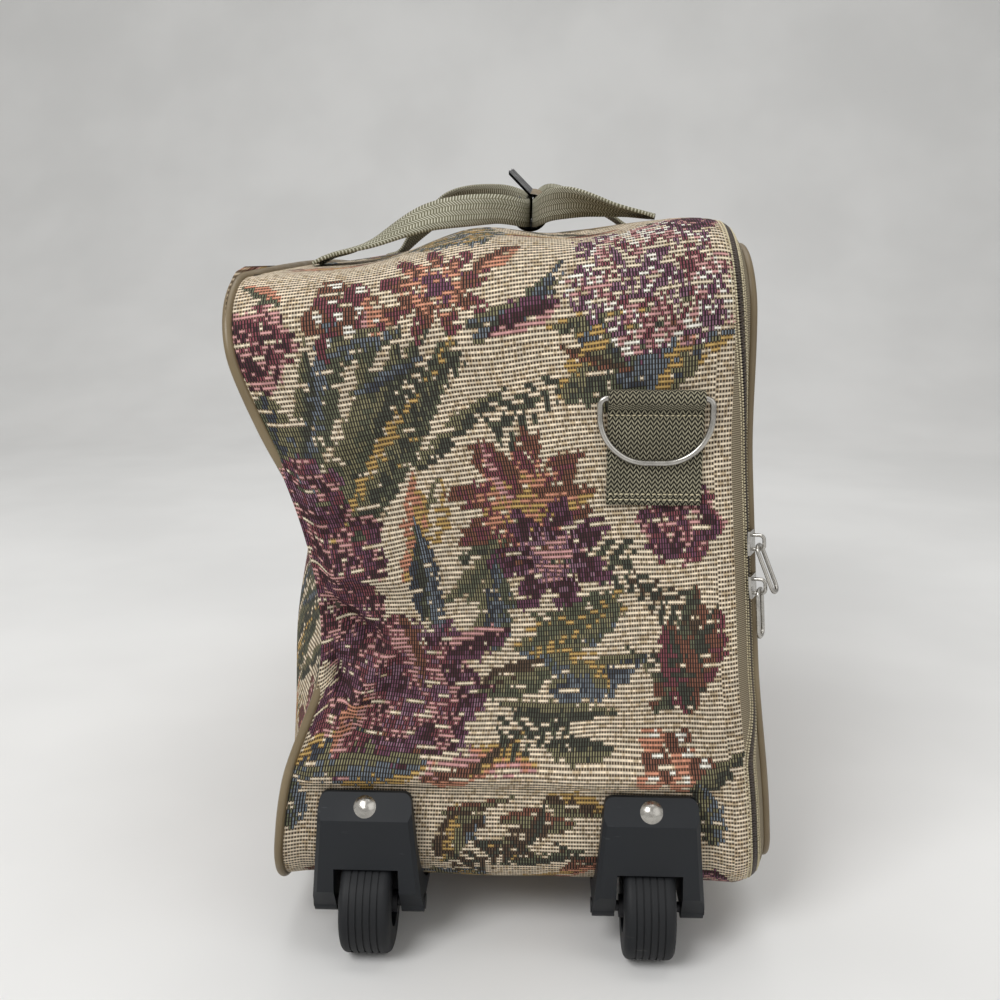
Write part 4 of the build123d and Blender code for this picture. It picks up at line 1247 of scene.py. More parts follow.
@dataclass
class TapestryShell:
    """The tapestry panels and the linings behind them.

    Attributes:
        form: The case's form.
        pattern: The woven figures.
        cloth: Finish of the tapestry.
        lining: Finish of the lining.
        wall: Distance from the tapestry to the lining.
        columns: Threads across the gusset.
        turn_over: How far the cloth turns over the rounded edge, in degrees.
        lid_inset: Distance of the lid's panel inside the bag's outline.
        seam_roll: How far the cloth rolls out over the seam.
        seam_dip: How far the seam draws it in.
        tray_recess: How far the tray lies back at the wheel end.
    """

    form: CaseForm
    pattern: TapestryPattern
    cloth: Material
    lining: Material
    wall: float = 5.0
    columns: int = 160
    turn_over: float = 28.0
    lid_inset: float = 17.5
    seam_roll: float = 8.0
    seam_dip: float = 2.0
    tray_recess: float = 3.0

    def sew(
        self,
        name: str,
        grid: Grid,
        finish: Material,
        body: str,
        flat: tuple[float, float],
        area: float,
        *nodes: str,
    ) -> None:
        """Put a panel on its body.

        Args:
            name: Name of the panel.
            grid: Its surface.
            finish: Its finish.
            body: The CAD body that carries it.
            flat: Width and length of the flat piece, in metres. It is not used.
            area: Its area, in square metres. It is not used.
            nodes: CAD nodes that it stands for.
        """
        piece = place_piece(make_piece(name, [grid], finish), body, "tapestry", *nodes)

    def fold(
        self, x: Array, z: Array, start: Sequence[float], end: Sequence[float], width: float
    ) -> Array:
        """A fold: a bell-shaped ridge along the line from start to end, fading at both ends.

        Args:
            x: Places across.
            z: Heights.
            start: Where the fold starts.
            end: Where it ends.
            width: Its half width.

        Returns:
            Height of the ridge, from 0 to 1.
        """
        way = np.array([end[0] - start[0], end[1] - start[1]])
        length = float(np.hypot(*way))
        along = ((x - start[0]) * way[0] + (z - start[1]) * way[1]) / length
        off = ((z - start[1]) * way[0] - (x - start[0]) * way[1]) / length
        share = along / length
        fade = ease(-0.3, 0.15, share) * (1 - ease(0.85, 1.3, share))
        return fade * np.exp(-((off / width) ** 2))

    def near_relief(self, x: Array, z: Array) -> Array:
        """How far the cloth of the wheel end stands out.

        The sum of a roll over the seam, a soft swell, folds that spread from the pinched edge, and
        a slight unevenness. It is flat behind the webbing tab.

        Args:
            x: Places across.
            z: Heights.

        Returns:
            Distance out, in millimetres.
        """
        over = z - self.form.seam_z
        roll = self.seam_roll * np.exp(-(((over - 11) / 9) ** 2))
        roll = roll - self.seam_dip * np.exp(-((over / 2.5) ** 2))
        swell = 3.0 * np.exp(-(((x + 10) / 70) ** 2)) * np.exp(-(((z - 230) / 80) ** 2))
        folds = (
            -11.0 * self.fold(x, z, (-100, 216), (-72, 186), 6)
            + 11.0 * self.fold(x, z, (-66, 184), (-94, 136), 7)
            - 7.0 * self.fold(x, z, (-98, 176), (-88, 132), 5)
            + 6.0 * self.fold(x, z, (-98, 238), (-56, 228), 7)
            - 5.0 * self.fold(x, z, (-102, 260), (-66, 262), 8)
            + 4.0 * self.fold(x, z, (-112, 290), (-66, 318), 9)
            - 4.0 * self.fold(x, z, (2, 240), (34, 224), 3.5)
            + 2.4 * self.fold(x, z, (-4, 222), (40, 214), 7)
            - 2.6 * self.fold(x, z, (40, 206), (96, 216), 8)
            + 2.0 * self.fold(x, z, (-60, 130), (30, 136), 12)
            + 2.2 * self.fold(x, z, (-120, 372), (-60, 350), 12)
        )
        beside = ease(34, 48, x) * (1 - ease(106, 118, x))
        behind = beside * ease(252, 266, z) * (1 - ease(338, 352, z))
        calm = 1 - behind
        return roll + calm * (swell + folds + 0.9 * ripple(x, z, 74, 0.4))

    def top_relief(self, x: Array, y: Array) -> Array:
        """How far the top stands up: a bunched peak under the handles and soft dips beside it."""
        peak = 9.0 * np.exp(-(((x + 22) / 34) ** 2) - ((y + 178) / 60) ** 2)
        dip = -3.0 * np.exp(-(((x - 42) / 26) ** 2) - ((y + 200) / 60) ** 2)
        left = -3.0 * np.exp(-(((x + 96) / 30) ** 2) - ((y + 190) / 80) ** 2)
        return peak + dip + left + 1.2 * ripple(x, y, 95, 1.2)

    def band(self, columns: int, rows: Sequence[int], inset: float) -> tuple[Array, Array]:
        """The gusset from seam to seam: wheel end, corner, top, corner, far end.

        Each row stands at a share of its stretch, the ends are upright, the corners are quarter
        circles, and the top is crowned. X runs evenly from the left face to the zip.

        Args:
            columns: Number of columns of cells.
            rows: Number of rows of cells in the ends, the corners and the top.
            inset: Distance inside the outer face.

        Returns:
            Points of shape (rows, columns, 3) and the height or unrolled height of each.
        """
        form = self.form
        step, a, b, c, d, e = stretches(*rows)
        total = len(step) - 1
        t = np.linspace(0, 1, columns + 1)[None, :]
        flat = form.half_length - form.top_corner
        round_in = form.top_corner - inset
        x = -140 + t * 250 + 0 * step
        for _ in range(4):
            bend_z = form.top(x) - form.top_corner
            z = form.seam_z + (a - e) * (bend_z - form.seam_z)
            z = z + round_in * (np.sin(b) - 1 + np.cos(d))
            y = -flat - round_in * np.cos(b) + c * 2 * flat + round_in * np.sin(d)
            level = (b >= math.pi / 2 - 1e-9) * (d <= 0)
            z = z + form.crown * (1 - (np.clip(y, -flat, flat) / flat) ** 2) * level
            left = form.left_edge(y, z) + inset
            x = left + t * (form.right_edge(y, z) - left)
        unrolled = z + 0 * x
        arc = form.top_corner * math.pi / 2
        unrolled = np.where(b > 0, bend_z + form.top_corner * b, unrolled)
        unrolled = np.where(c > 0, bend_z + arc + c * 2 * flat, unrolled)
        unrolled = np.where(d > 0, bend_z + arc + 2 * flat + form.top_corner * d, unrolled)
        descent = 2 * arc + 2 * flat + e * (bend_z - form.seam_z)
        unrolled = np.where(e > 0, bend_z + descent, unrolled)
        points = stacked(x, y, z)
        endward = -np.cos(b) * (c <= 0) + np.sin(d) * (c > 0)
        out = stacked(0 * x, endward, np.sin(b) * np.cos(d))
        near = self.near_relief(x, z) * np.cos(b) ** 2 * (c <= 0)
        far = (self.near_relief(-x, z) * 0.4) * (e > 0) * ease(0, 0.2, e)
        high = self.top_relief(x, y) * np.sin(b) ** 2 * np.cos(d) ** 2
        sewn = ease(0, 0.06, t) * (1 - ease(0.95, 1, t))
        points = points + out * ((near + far + high) * sewn)[..., None]
        if inset == 0:
            pinch = np.exp(-(((x + 100) / 45) ** 2) - ((z - 205) / 70) ** 2)
            drawn_in = pinch * np.cos(b) ** 2 * (c <= 0)
            waver = ripple(x, unrolled, 44, 0.7) - 0.28 * (z - 205) * drawn_in
            waver = waver * sewn * ease(0, 7, step) * (1 - ease(total - 7, total, step))
            points[..., 1] += waver * np.sin(b) * np.cos(d)
            points[..., 2] += waver * (np.cos(b) - np.sin(d))
        return points, unrolled

    def cells(
        self, points: Array, x: Array, z: Array, flip: bool, origin: tuple[float, float] = (0, 0)
    ) -> Grid:
        """Colour a grid of thread cells.

        Args:
            points: The cells' corners.
            x: Places across the cloth, at the corners.
            z: Places up the cloth, at the corners.
            flip: Whether the faces are turned over.
            origin: Shift of the pattern.

        Returns:
            The coloured grid.
        """
        rows, columns = points.shape[:2]
        middle_x = (x[:-1, :-1] + x[1:, 1:]).ravel() / 2 + origin[0]
        middle_z = (z[:-1, :-1] + z[1:, 1:]).ravel() / 2 + origin[1]
        pattern = lattice(np.arange(columns + 0.0), np.arange(rows + 0.0))
        return Grid(points, pattern, flip=flip, colours=self.pattern.paint(middle_x, middle_z))

    def gusset(self) -> None:
        """Build the band over the wheel end, top and far end, and its lining."""
        points, unrolled = self.band(self.columns, (96, 30, 169), 0.0)
        grid = self.cells(points, points[..., 0], unrolled, False)
        self.sew("gusset_cloth", grid, self.cloth, "bag", (0.28, 1.09), 0.272, "gusset")
        inner, run = self.band(64, (64, 12, 40), self.wall)
        pattern = np.stack([inner[..., 0], run], axis=-1)
        lining = Grid(inner, pattern, flip=True)
        self.sew("gusset_lining", lining, self.lining, "bag", (0.27, 1.06), 0.25)

    def tray_points(self, columns: int, rows: Sequence[int], inset: float) -> tuple[Array, Array]:
        """The tray from seam to seam: an upright and a quarter circle at each end, level between.

        Args:
            columns: Number of columns of cells.
            rows: Number of rows of cells in the uprights, the corners and the underside.
            inset: Distance inside the outer face.

        Returns:
            Points and the unrolled height of each row.
        """
        form = self.form
        step, a, b, c, d, e = stretches(*rows)
        t = np.linspace(0, 1, columns + 1)[None, :]
        flat = form.half_length - form.bottom_corner
        upright = form.seam_rise - form.bottom_corner
        round_in = form.bottom_corner - inset
        y = -flat - round_in * np.cos(b) + c * 2 * flat + round_in * np.sin(d) + 0 * t
        z = form.seam_z - (a - e) * upright + round_in * (1 - np.cos(d) - np.sin(b)) + 0 * t
        left = form.left_edge(y, z) + inset
        x = left + t * (form.right_edge(y, z) - left)
        run = form.seam_z - (a + e) * upright - form.bottom_corner * (b + d) - c * 2 * flat + 0 * t
        points = stacked(x, y, z)
        if inset == 0:
            out = stacked(0 * x, -np.cos(b) + np.sin(d), -np.sin(b) * np.cos(d))
            recess = self.tray_recess * (1 - ease(12, 40, step)) * ease(0, 2, step)
            uneven = 0.7 * ripple(x, run, 60, 2.0) - recess
            points = points + out * (uneven * ease(0, 0.06, t) * (1 - ease(0.94, 1, t)))[..., None]
        return points, run

    def tray(self) -> None:
        """Build the band below the seam and its lining."""
        points, run = self.tray_points(self.columns, (13, 23, 178), 0.0)
        grid = self.cells(points, points[..., 0], run, True)
        grid = replace(grid, keep=self.outside_wells(points))
        self.sew("tray_cloth", grid, self.cloth, "bag", (0.272, 0.66), 0.168, "tray")
        inner, inner_run = self.tray_points(80, (6, 12, 40), self.wall)
        pattern = np.stack([inner[..., 0], inner_run], axis=-1)
        lining = Grid(inner, pattern, keep=self.outside_wells(inner))
        self.sew("tray_lining", lining, self.lining, "bag", (0.265, 0.62), 0.15)

    def outside_wells(self, points: Array) -> Array:
        """Faces of a grid whose middles are outside the wheel wells."""
        middle = (points[:-1, :-1] + points[1:, 1:] + points[:-1, 1:] + points[1:, :-1]) / 4
        return ~self.form.in_well(middle).ravel()

    def panel_points(self, columns: int, rows: int, inset: float, depth: float) -> Array:
        """The left panel: rows from bottom to top, each as long as the bag's outline there.

        Args:
            columns: Number of columns of cells.
            rows: Number of rows of cells.
            inset: Distance inside the outline.
            depth: Distance behind the outer face.

        Returns:
            Points of shape (rows, columns, 3).
        """
        form = self.form
        top = form.ground_gap + form.left_height + 6.0
        s = np.linspace(-1, 1, columns + 1)[None, :]
        rise = np.linspace(0, 1, rows + 1)[:, None]
        z = form.ground_gap + inset + rise * (top - form.ground_gap - 2 * inset) + 0 * s
        y = s * form.side_reach(z, top, inset)
        x = form.left_edge(y, z)
        rim = np.minimum(1 - np.abs(s), np.minimum(rise, 1 - rise) * 1.3)
        soft = ease(0.0, 0.3, rim)
        x = x + depth - soft * (2.5 + 1.6 * ripple(y, z, 120, 0.9)) * (depth == 0)
        return np.stack([x, y, z], axis=-1)

    def left_panel(self) -> None:
        """Build the fixed panel and its lining."""
        points = self.panel_points(327, 134, 0.6, 0.0)
        grid = self.cells(points, -points[..., 1], points[..., 2], False, (40.0, 150.0))
        self.sew("left_panel_cloth", grid, self.cloth, "bag", (0.55, 0.372), 0.194, "left_panel")
        inner = self.panel_points(40, 30, self.wall, self.wall)
        lining = Grid(inner, inner[..., 1:], flip=True)
        self.sew("left_panel_lining", lining, self.lining, "bag", (0.53, 0.36), 0.18)

    def lid_points(self, columns: int, rows: int, inset: float, out: float) -> Array:
        """The lid's panel, in rows as long as its outline, swelling a little in the middle.

        Args:
            columns: Number of columns of cells.
            rows: Number of rows of cells.
            inset: Distance inside the bag's outline.
            out: Distance out from the zip's plane.

        Returns:
            Points of shape (rows, columns, 3).
        """
        form = self.form
        height = form.right_height / math.cos(math.radians(form.lean)) + 3.0
        s = np.linspace(-1, 1, columns + 1)[None, :]
        rise = np.linspace(0, 1, rows + 1)[:, None]
        v = inset + rise * (height - 2 * inset) + 0 * s
        y = s * form.side_reach(v + form.ground_gap, height + form.ground_gap, inset)
        rim = np.minimum(1 - np.abs(s), np.minimum(rise, 1 - rise) * 1.3)
        swell = ease(0.0, 0.35, rim) * (3.0 + 1.5 * ripple(y, v, 130, 2.3))
        return form.lid_point(y, v, out + swell * (out >= form.edge_radius))

    def lid(self) -> None:
        """Build the lid's panel and its lining."""
        points = self.lid_points(306, 131, self.lid_inset, self.form.edge_radius)
        grid = self.cells(points, points[..., 1], points[..., 2], False, (90.0, 60.0))
        self.sew("lid_cloth", grid, self.cloth, "lid", (0.51, 0.36), 0.178, "lid_panel")
        inner = self.lid_points(40, 30, self.lid_inset, self.form.edge_radius - self.wall)
        lining = Grid(inner, inner[..., 1:], flip=True)
        self.sew("lid_lining", lining, self.lining, "lid", (0.51, 0.36), 0.178)

    def rim_cloth(self) -> None:
        """Build the strip of the gusset that turns over the rounded edge, up to the zip tape."""
        form = self.form
        rim, out, at = form.rim(673)
        turns = np.linspace(0.0, self.turn_over, 7)
        degrees = turns + 0 * at[:, None]
        points = form.edge_point(rim[:, None], out[:, None], degrees, 0.2 + 0 * degrees)
        loop = np.concatenate([points, points[:1]])
        run = np.where(rim[:, 0] < 0.95 * -form.half_length, points[:, 0, 2], at)
        across = form.right_edge(loop[..., 1], loop[..., 2])
        across = across + np.radians(turns) * form.edge_radius
        unrolled = np.concatenate([run, run[:1]])[:, None] + 0 * across
        cells = self.cells(loop, across, unrolled, False)
        grid = Grid(points, cells.pattern, True, False, colours=cells.colours)
        self.sew("rim_cloth", grid, self.cloth, "bag", (0.011, 1.77), 0.0175)

    def build(self) -> None:
        """Build every panel."""
        self.gusset()
        self.rim_cloth()
        self.tray()
        self.left_panel()
        self.lid()


@dataclass
class PipingTrim:
    """Vinyl piping round the left panel and round the lid.

    Attributes:
        form: The case's form.
        vinyl: Finish of the piping.
        radius: Radius of the cord.
        set_out: How far the lid's piping stands over the rounded edge.
        count: Points along each run.
        sides: Points round the cord.
    """

    form: CaseForm
    vinyl: Material
    radius: float = 2.6
    set_out: float = 3.0
    count: int = 700
    sides: int = 14

    def left_path(self) -> Array:
        """Edge of the left panel: the bag's outline laid on its face, tucked in at the folds."""
        form = self.form
        foot, top = form.ground_gap, form.ground_gap + form.left_height
        y, z = even_steps(form.outline(foot, top, 6.0), self.count)[0].T
        tuck = (y < -form.half_length + 20) * ease(140, 190, z) * (1 - ease(260, 310, z))
        return np.column_stack([form.left_edge(y, z) + 3.0 * tuck, y + 6.0 * tuck, z])

    def build(self) -> None:
        """Build both runs of piping."""
        path = self.left_path()
        path[:, 0] += 0.15 * np.sin(np.arange(self.count) * 0.21)
        grid = tube(path, self.radius, self.sides, True, np.array([1.0, 0.0, 0.0]))
        cord = make_piece("left_piping_cord", [grid], self.vinyl)
        place_piece(cord, "bag", "piping_vinyl", "left_piping")
        rim, _, _ = self.form.rim(self.count, self.form.edge_radius - self.set_out)
        out = self.form.edge_radius + self.set_out / 4
        path = self.form.lid_point(rim[:, 0], rim[:, 1], np.full(self.count, out))
        grid = tube(path, self.radius, self.sides, True, np.array([1.0, 0.0, 0.08]))
        cord = make_piece("lid_piping_cord", [grid], self.vinyl)
        place_piece(cord, "lid", "piping_vinyl", "lid_piping")


@dataclass
class ZipFastener:
    """The zip round the lid: tapes over the rounded edge, teeth, and rows of stitches.

    Attributes:
        form: The case's form.
        tape: Finish of the tapes.
        tooth: Finish of the teeth.
        stitch: Finish of the stitches.
        angle: Where the teeth meet on the rounded edge, in degrees from the bag's side.
        near_angle: The same at the wheel end's corners, where the tape rolls forward.
        tape_start: Where the tape comes out from under the tapestry.
        tape_end: Where it goes under the lid's piping.
        tape_thickness: Thickness of the tape.
        pitch: Distance from tooth to tooth.
        count: Points round the rim for the tapes.
        fine_count: Points round the rim for the teeth.
    """

    form: CaseForm
    tape: Material
    tooth: Material
    stitch: Material
    angle: float = 65.0
    near_angle: float = 37.0
    tape_start: float = 20.0
    tape_end: float = 88.0
    tape_thickness: float = 1.2
    pitch: float = 1.6
    count: int = 900
    fine_count: int = 6000

    def meeting(self, y: Array, v: Array) -> Array:
        """Angle where the teeth meet: it falls at the wheel end's corners and over the near top."""
        high = ease(262, 352, v)
        low = 1 - ease(84, 124, v)
        toward = 1 - ease(-268, -150, y)
        drop = np.maximum(high * (1 - ease(-120, 120, y)), low * toward)
        return self.angle - (self.angle - self.near_angle) * np.clip(drop, 0, 1)

    def strip(self, first: Array, last: Array, steps: int) -> Grid:
        """Tape between two angles, with an inner face that closes it.

        Args:
            first: Angle of one edge at each point round the rim.
            last: Angle of the other edge at each point.
            steps: Columns across each face.

        Returns:
            The closed strip.
        """
        rim, out, at = self.form.rim(self.count)
        share = np.concatenate([np.linspace(0, 1, steps), np.linspace(1, 0, steps)])
        lift = np.concatenate([np.zeros(steps), np.full(steps, -self.tape_thickness)])
        degrees = first[:, None] + share[None, :] * (last - first)[:, None]
        lift = lift[None, :] + 0 * degrees
        points = self.form.edge_point(rim[:, None, :], out[:, None, :], degrees, lift)
        width = np.radians(degrees) * self.form.edge_radius
        width = np.concatenate([width, width[:, :1]], axis=1)
        width = np.concatenate([width, width[:1]], axis=0)
        length = np.concatenate([at, [at[-1] + at[1]]])
        pattern = np.stack([width, length[:, None] + 0 * width], axis=-1)
        return Grid(points, pattern, True, True)

    def row(
        self, shift: float, offset: float, lift: float, size: Sequence[float], crosswise: bool
    ) -> Grid:
        """A row of teeth or stitches beside the meeting line.

        Args:
            shift: Start, as a share of the pitch.
            offset: Distance from the meeting line, towards the lid.
            lift: Height over the tape.
            size: Half sizes of each bead.
            crosswise: Whether the beads lie across the zip.

        Returns:
            The beads' grid.
        """
        fine, out, at = self.form.rim(self.fine_count)
        total = at[-1] + at[1]
        number = int(total / self.pitch)
        places = (np.arange(number) + shift) * total / number
        index = (places / total * self.fine_count).astype(int)
        index = np.clip(index, 0, self.fine_count - 1)
        rim, side = fine[index], out[index]
        degrees = self.meeting(rim[:, 0], rim[:, 1])
        degrees = degrees + math.degrees(offset / self.form.edge_radius)
        level = np.full(len(rim), lift)
        centres = self.form.edge_point(rim, side, degrees, level)
        tops = unit(self.form.edge_point(rim, side, degrees, level + 1.0) - centres)
        ahead = unit(self.form.edge_point(rim, side, degrees + 2.0, level) - centres)
        ways = ahead if crosswise else np.cross(tops, ahead)
        return beads(centres, ways, tops, size)

    def build(self) -> None:
        """Build tapes, teeth and stitches of both halves."""
        rim, _, _ = self.form.rim(self.count)
        meet = self.meeting(rim[:, 0], rim[:, 1])
        edge = math.degrees(1.5 / self.form.edge_radius)
        body = self.strip(np.full(self.count, self.tape_start), meet - edge, 12)
        place_piece(make_piece("body_zip_tape", [body], self.tape), "bag", "zip_tape", "body_zip")
        lid = self.strip(meet + edge, np.full(self.count, self.tape_end), 10)
        place_piece(make_piece("lid_zip_tape", [lid], self.tape), "lid", "zip_tape", "lid_zip")
        for name, carrier, side, shift in (("body", "bag", -1.0, 0.0), ("lid", "lid", 1.0, 0.5)):
            teeth = self.row(shift, side * 0.75, 0.2, (1.6, 0.6, 0.8), True)
            place_piece(make_piece(f"{name}_zip_teeth", [teeth], self.tooth), carrier, "zip_tape")
            rows = [
                self.row(shift, side * 2.6, 0.45, (0.62, 0.62, 0.6), False),
                self.row(0.5 - shift, side * 4.6, 0.2, (0.6, 0.5, 0.45), False),
            ]
            place_piece(make_piece(f"{name}_zip_stitches", rows, self.stitch), carrier, "zip_tape")


@dataclass
class CarryHandles:
    """Webbing carry handles and the wrap that joins them.

    Attributes:
        webbing: Finish of the straps.
        wrap: Finish of the wrap's outside.
        width: Width of the webbing.
        folded: Its width where it is folded inside the wrap.
        thickness: Its thickness.
        span: Half the distance across between the sewn ends.
        spread: Half the distance along between them.
        base: Height of the strap's middle over the floor at rise zero.
        rise: Height that a rise of one adds.
        wrap_x: X of the wrap's axis.
        wrap_y: Y of the wrap's near end.
        wrap_low: Height of its near end.
        wrap_high: Height of its far end.
        wrap_length: Length of the wrap.
        wrap_radius: Radius of its inside.
        wrap_wall: Its thickness.
        apart: Distance of each strap from the wrap's axis.
        bow: How far the webbing bows across its width.
        left_legs: Stations of the left strap's legs, as shares across, along and up, turn and fold.
        right_legs: The same for the right strap.
    """

    webbing: Material
    wrap: Material
    width: float = 26.0
    folded: float = 18.0
    thickness: float = 2.4
    span: float = 128.0
    spread: float = 128.0
    base: float = 395.2
    rise: float = 52.0
    wrap_x: float = 8.0
    wrap_y: float = -66.0
    wrap_low: float = 428.0
    wrap_high: float = 438.0
    wrap_length: float = 120.0
    wrap_radius: float = 10.5
    wrap_wall: float = 2.2
    apart: float = 3.0
    bow: float = 1.2

    left_legs: ClassVar[Legs] = (
        (
            (-1.0, -1.0, -0.02, 0, 0),
            (-0.92, -1.0, 0.07, 0, 0),
            (-0.74, -0.99, 0.2, 0.05, 0),
            (-0.44, -0.9, 0.54, 0.4, 0.1),
            (-0.14, -0.72, 0.66, 0.85, 0.8),
        ),
        (
            (-0.14, 0.68, 0.98, 0.67, 0.5),
            (-0.45, 0.86, 0.95, 0.28, 0),
            (-0.7, 0.97, 0.46, 0.05, 0),
            (-0.82, 1.0, 0.16, 0, 0),
            (-0.92, 1.0, 0.07, 0, 0),
        ),
    )
    right_legs: ClassVar[Legs] = (
        (
            (0.68, -1.0, 0.53, 0, 0),
            (0.5, -0.98, 0.62, 0.15, 0),
            (0.3, -0.9, 0.72, 0.5, 0.3),
            (0.17, -0.76, 0.7, 0.83, 0.8),
        ),
        (
            (0.19, 0.68, 0.98, 0.78, 0.5),
            (0.4, 0.88, 0.92, 0.33, 0),
            (0.56, 0.97, 0.72, 0.09, 0),
            (0.68, 1.0, 0.53, 0, 0),
        ),
    )

    def wrap_way(self) -> Array:
        """Direction of the wrap."""
        return unit(np.array([0.0, self.wrap_length, self.wrap_high - self.wrap_low]))

    def stations(self, legs: Legs, side: float) -> Array:
        """Middle, turn and fold of a strap at each of its stations.

        Args:
            legs: Rows of the near and the far leg, as shares.
            side: -1 for the left strap and 1 for the right.

        Returns:
            Rows of x, y, z, turn and fold.
        """
        rows = [np.array(leg, dtype=float) for leg in legs]
        scale = np.array([self.span, self.spread, self.rise, 1.0, 1.0])
        shift = np.array([0.0, 0.0, self.base, 0.0, 0.0])
        near, far = (row * scale + shift for row in rows)
        start = np.array([self.wrap_x, self.wrap_y, self.wrap_low])
        beside = np.array([side * self.apart, 0, 0])
        inner = [start + self.wrap_way() * d + beside for d in (-7, 40, 80, 127)]
        middle = np.array([[*point, 1.0, 1.0] for point in inner])
        return np.concatenate([near, middle, far])

    def strap(self, legs: Legs, side: float) -> Grid:
        """Carry a flat section with rounded edges along a strap.

        The stations are joined by a Catmull-Rom curve, and the section turns from flat to upright.

        Args:
            legs: Rows of the near and the far leg.
            side: -1 for the left strap and 1 for the right.

        Returns:
            The strap's grid.
        """
        key = self.stations(legs, side)
        key = np.concatenate([2 * key[:1] - key[1:2], key, 2 * key[-1:] - key[-2:-1]])
        t = np.linspace(0, 1, 14, endpoint=False)[None, :, None]
        a, b, c, d = (key[i : len(key) - 3 + i][:, None] for i in range(4))
        square, cube = 2 * a - 5 * b + 4 * c - d, 3 * b - a - 3 * c + d
        curve = 0.5 * (2 * b + (c - a) * t + square * t**2 + cube * t**3)
        curve = np.concatenate([curve.reshape(-1, 5), key[-2:-1]])
        path, turn, fold = curve[:, :3], curve[:, 3] * math.pi / 2, np.clip(curve[:, 4], 0, 1)
        way = unit(np.gradient(path, axis=0))
        level = unit(np.cross([0.0, 0.0, 1.0], way))
        rise = np.cross(way, level)
        across = level * np.cos(turn)[:, None] + rise * np.sin(turn)[:, None]
        normal = np.cross(way, across)
        half = (self.width + (self.folded - self.width) * fold) / 2
        thick = self.thickness / 2
        ring = np.array([-1, -0.5, 0, 0.5, 1, 1, 1, 0.5, 0, -0.5, -1, -1.0])
        face = np.array([1, 1, 1, 1, 0.85, 0, -0.85, -1, -1, -1, -0.85, 0.0])
        wide = half[:, None] * ring * np.where(face == 0, 1.02, 1.0)
        high = thick * face + self.bow * (1 - ring**2) * (1 - fold[:, None])
        points = path[:, None] + wide[..., None] * across[:, None]
        points = points + high[..., None] * normal[:, None]
        around = np.concatenate([ring, [-1.0]]) * self.width / 2
        return Grid(points, lattice(around, distances(path)), False, True)

    def wrap_grid(self) -> Grid:
        """The wrap: an open ring with a flap, carried along its axis and a little crumpled."""
        way = self.wrap_way()
        over = np.cross([-1.0, 0.0, 0.0], way)
        turn = np.radians(np.linspace(90, 90 + 305, 34))
        outer = circle(turn, self.wrap_radius + self.wrap_wall)
        inner = circle(turn, self.wrap_radius)
        flap = np.array([[15.0, 25.5], [15.0, 25.5 + self.wrap_wall]])
        ring = np.concatenate([outer[::-1], [flap[1], flap[0]], inner])
        rows = 25
        along = np.linspace(0, self.wrap_length, rows)
        start = np.array([self.wrap_x, self.wrap_y, self.wrap_low])
        crumple = 1 + 0.03 * ripple(np.arange(len(ring))[None, :] * 1.7, along[:, None], 38, 0.5)
        points = (
            start
            + along[:, None, None] * way
            + (ring[:, 0] * crumple)[..., None] * np.array([-1.0, 0.0, 0.0])
            + (ring[:, 1] * crumple)[..., None] * -over
        )
        pattern = lattice(np.arange(len(ring) + 1.0) * 2.4, along)
        tint = np.tile(np.array([*linear("6b5a3e"), 1.0]), (rows - 1, len(ring), 1))
        tint[:, len(outer) - 1 :] = [*linear("17161a"), 1.0]
        return Grid(points, pattern, False, True, colours=tint.reshape(-1, 4))

    def build(self) -> None:
        """Build both straps and the wrap."""
        straps = {"left_strap": (self.left_legs, -1.0), "right_strap": (self.right_legs, 1.0)}
        for name, (legs, side) in straps.items():
            piece = make_piece(f"{name}_webbing", [self.strap(legs, side)], self.webbing)
            place_piece(piece, "bag", "webbing", name)
        piece = make_piece("handle_wrap_vinyl", [self.wrap_grid()], self.wrap)
        place_piece(piece, "bag", "wrap_vinyl", "handle_wrap")


